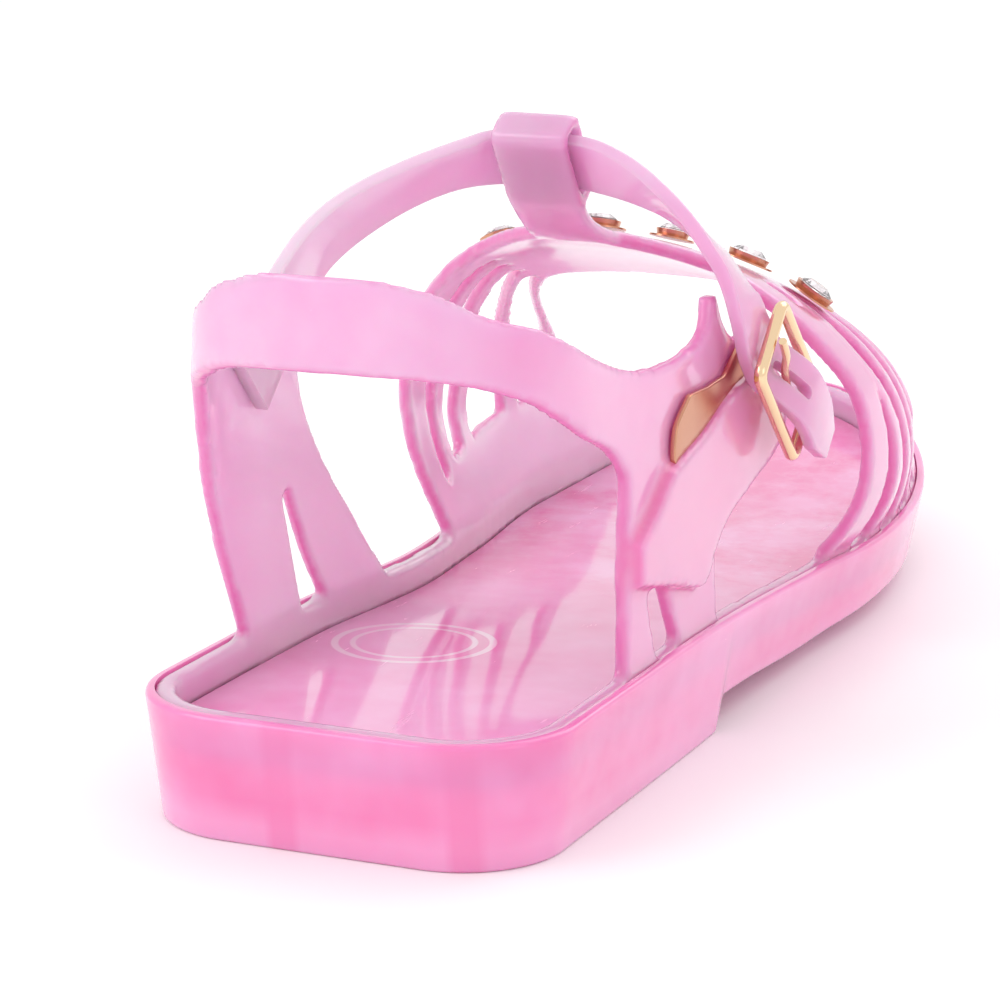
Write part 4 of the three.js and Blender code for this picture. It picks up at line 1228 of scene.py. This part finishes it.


# Buckle
# A frame of gold-coloured wire with a prong that runs along the frame and rests on its rear bar.
def sweep_wire(name, spots, radius, closed, sides=14):
    """A round wire along a line of points"""
    count = len(spots)
    rings = []
    side_way = None
    for i, spot in enumerate(spots):
        ahead = spots[(i + 1) % count] if closed or i + 1 < count else spot
        behind = spots[i - 1] if closed or i > 0 else spot
        tangent = (ahead - behind).normalized()
        if side_way is None:
            side_way = tangent.orthogonal().normalized()
        side_way = (side_way - tangent * side_way.dot(tangent)).normalized()
        other = tangent.cross(side_way)
        ring = []
        for step in range(sides):
            angle = 2 * math.pi * step / sides
            ring.append(spot + (side_way * math.cos(angle) + other * math.sin(angle)) * radius)
        rings.append(ring)
    points = [point for ring in rings for point in ring]
    faces = ring_faces(count, sides, closed)
    if not closed:
        faces += end_faces(count, sides)
    return new_piece(name, points, faces)


wire_path = rounded_rectangle(buckle_length - buckle_wire, buckle_width - buckle_wire, 1.7, 8)
buckle_frame = sweep_wire("buckle_wire", [buckle_spot(x, y, 0) for x, y in wire_path], buckle_wire / 2, True)
smooth_faces(buckle_frame, 60)
prong_rest = buckle_wire / 2 + gap + prong_diameter / 2
prong_end = buckle_length / 2 - buckle_wire
prong_points = [
    buckle_spot(prong_end - gap - 0.2, 0, -0.6),
    buckle_spot(prong_end * 0.4, 0, -0.6),
    buckle_spot(-prong_end * 0.3, 0, 0.4),
    buckle_spot(-prong_end * 0.7, 0, prong_rest * 0.8),
    buckle_spot(-prong_end - buckle_wire / 2, 0, prong_rest),
]
prong_line = [curve_spot(prong_points, i / 40) for i in range(41)]
buckle_prong = sweep_wire("prong_wire", prong_line, prong_diameter / 2, False)
smooth_faces(buckle_prong, 60)

gold_wire = new_material(
    "gold_wire",
    Base_Color=(0.9, 0.66, 0.42, 1),
    Metallic=1,
    Roughness=0.18,
)[0]
for piece, node in ((buckle_frame, "buckle_frame"), (buckle_prong, "buckle_prong")):
    dress(piece, gold_wire)
    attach(piece, "root")
    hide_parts(node)


# Clasp plate
# A thin rose metal plate with two leaf-shaped lobes, which lies on the outer quarter and is cut away where
# the raised band covers it.
clasp_thickness = 1
clasp_rows = {
    "along": (0.252, 0.264, 0.284, 0.312, 0.342, 0.372, 0.4, 0.424),
    "up": (0.566, 0.592, 0.612, 0.634, 0.652, 0.676, 0.69, 0.694),
    "width": (0.012, 0.044, 0.056, 0.036, 0.026, 0.04, 0.044, 0.012),
}


def make_clasp_plate():
    rows = []
    for along, up, width in zip(clasp_rows["along"], clasp_rows["up"], clasp_rows["width"]):
        turn = 1 + (along - heel_centre_along) / wall_run
        spot = Vector(wall_point(turn, up * back_strap_top, 0))
        spot.x += gap + clasp_thickness / 2
        rows.append((spot, (1, 0, 0), width * sole_length))
    return sweep_band("clasp_leaves", rows, clasp_thickness, 60, 0.3)


clasp = make_clasp_plate()
shape_with(clasp, side_tool("clasp_cover", outer_band, 1), "DIFFERENCE")
smooth_faces(clasp, 50)
rose_metal = new_material(
    "rose_metal",
    Base_Color=(0.62, 0.3, 0.2, 1),
    Metallic=1,
    Roughness=0.25,
)[0]
dress(clasp, rose_metal)
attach(clasp, "root")
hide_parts("clasp_plate")


# Row of stones
# Clear faceted stones in rose metal settings, which stand in a row across the instep panel.
stone_rows = {
    "girth": (-0.25, -0.13, -0.01, 0.11, 0.225, 0.335),
    "along": (0.5, 0.488, 0.486, 0.502, 0.526, 0.548),
    "diameter": (6.4, 4.8, 6.4, 4.8, 6.4, 6.4),
}
setting_wall = 0.6
setting_height = 1.5
setting_brim = 1.6
stone_crown = 1.1
seat_lift = 0.8


def turn_on_panel(name, girth, along, profile, sides):
    """Turn a profile of radius and height about the panel's normal and set it on the panel"""
    y = along * sole_length
    normal = Vector(last_normal(y, girth))
    seat = Vector(last_point(y, girth)) + normal * seat_lift
    turn = Vector((0, 0, 1)).rotation_difference(normal)
    points = []
    for radius, height in profile:
        ring = circle(radius, sides)
        for i in range(sides):
            points.append(seat + turn @ Vector((*ring[i], height)))
    faces = ring_faces(len(profile), sides) + end_faces(len(profile), sides)
    return new_piece(name, points, faces)


clear_stone = new_material(
    "clear_stone",
    Base_Color=(0.98, 0.9, 0.94, 1),
    Roughness=0.02,
    Transmission_Weight=0.9,
    IOR=1.7,
)[0]
for i, (girth, along, diameter) in enumerate(zip(*stone_rows.values())):
    radius = diameter / 2
    setting = turn_on_panel(f"stone_setting_{i + 1}", girth, along, [
        (radius + setting_brim, 0), (radius + setting_brim, setting_wall / 2),
        (radius + setting_wall / 2, setting_wall / 2), (radius + setting_wall, setting_height),
        (radius + 0.1, setting_height), (radius * 0.6, setting_wall),
    ], 32)
    smooth_faces(setting, 30)
    dress(setting, rose_metal)
    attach(setting, "root")
    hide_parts(f"setting_{i + 1}")
    pavilion = setting_wall + gap
    stone = turn_on_panel(f"faceted_stone_{i + 1}", girth, along, [
        (radius * 0.5, pavilion), (radius * 0.98, setting_height), (radius * 0.98, setting_height + gap),
        (radius * 0.6, setting_height + stone_crown),
    ], 12)
    dress(stone, clear_stone)
    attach(stone, "root")
    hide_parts(f"stone_{i + 1}")


# Studio
# A flat pale floor, large soft lamps, and the camera at the photo's angle.
floor_mesh = bpy.data.meshes.new("studio_floor")
floor_size = 3
floor_points = [(-floor_size, -floor_size, 0), (floor_size, -floor_size, 0)]
floor_points += [(floor_size, floor_size, 0), (-floor_size, floor_size, 0)]
floor_mesh.from_pydata(floor_points, [], [(0, 1, 2, 3)])
studio_floor = add_piece("studio_floor", floor_mesh)
floor_paint = new_material(
    "floor_paint",
    Base_Color=(0.97, 0.97, 0.97, 1),
    Roughness=0.6,
)[0]
floor_mesh.materials.append(floor_paint)

world = bpy.data.worlds.new("studio_light")
world.use_nodes = True
world.node_tree.nodes["Background"].inputs["Color"].default_value = (1, 1, 1, 1)
world.node_tree.nodes["Background"].inputs["Strength"].default_value = 0.97
bpy.context.scene.world = world
bpy.context.scene.view_settings.view_transform = "Standard"

lamp_rows = (
    ("key_lamp", (-0.7, -0.6, 0.7), 0.7, 3.5),
    ("rear_lamp", (0.3, 0.9, 0.8), 0.9, 3),
    ("side_lamp", (0.9, -0.3, 0.5), 0.5, 0.7),
)
for name, spot, size, power in lamp_rows:
    lamp = bpy.data.lights.new(name, "AREA")
    lamp.size = size
    lamp.energy = power
    holder = bpy.data.objects.new(name, lamp)
    holder.location = spot
    aim = Vector((0, 0.1, 0.04)) - Vector(spot)
    holder.rotation_euler = aim.to_track_quat("-Z", "Y").to_euler()
    bpy.context.scene.collection.objects.link(holder)

camera_turn = math.radians(23.69)
camera_rise = math.radians(14.0)
camera_distance = 601.6
focal_pixels = 3781.62
picture_pixels = 1000
aim_pixel = (421.66, 664.58)
aim_point = Vector((0, 40, 20))
sensor = 36
back = Vector((
    math.sin(camera_turn) * math.cos(camera_rise),
    -math.cos(camera_turn) * math.cos(camera_rise),
    math.sin(camera_rise),
))
right = Vector((math.cos(camera_turn), math.sin(camera_turn), 0))
up = back.cross(right)
off_right = (aim_pixel[0] - picture_pixels / 2) / focal_pixels * camera_distance
off_up = -(aim_pixel[1] - picture_pixels / 2) / focal_pixels * camera_distance
stand = aim_point - right * off_right - up * off_up + back * camera_distance
camera = bpy.data.cameras.new("photo_camera")
camera.sensor_width = sensor
camera.lens = focal_pixels * sensor / picture_pixels
photo_camera = bpy.data.objects.new("photo_camera", camera)
facing = Matrix((right, up, back)).transposed().to_4x4()
photo_camera.matrix_world = Matrix.Translation(stand * mm) @ facing
bpy.context.scene.collection.objects.link(photo_camera)
bpy.context.scene.camera = photo_camera
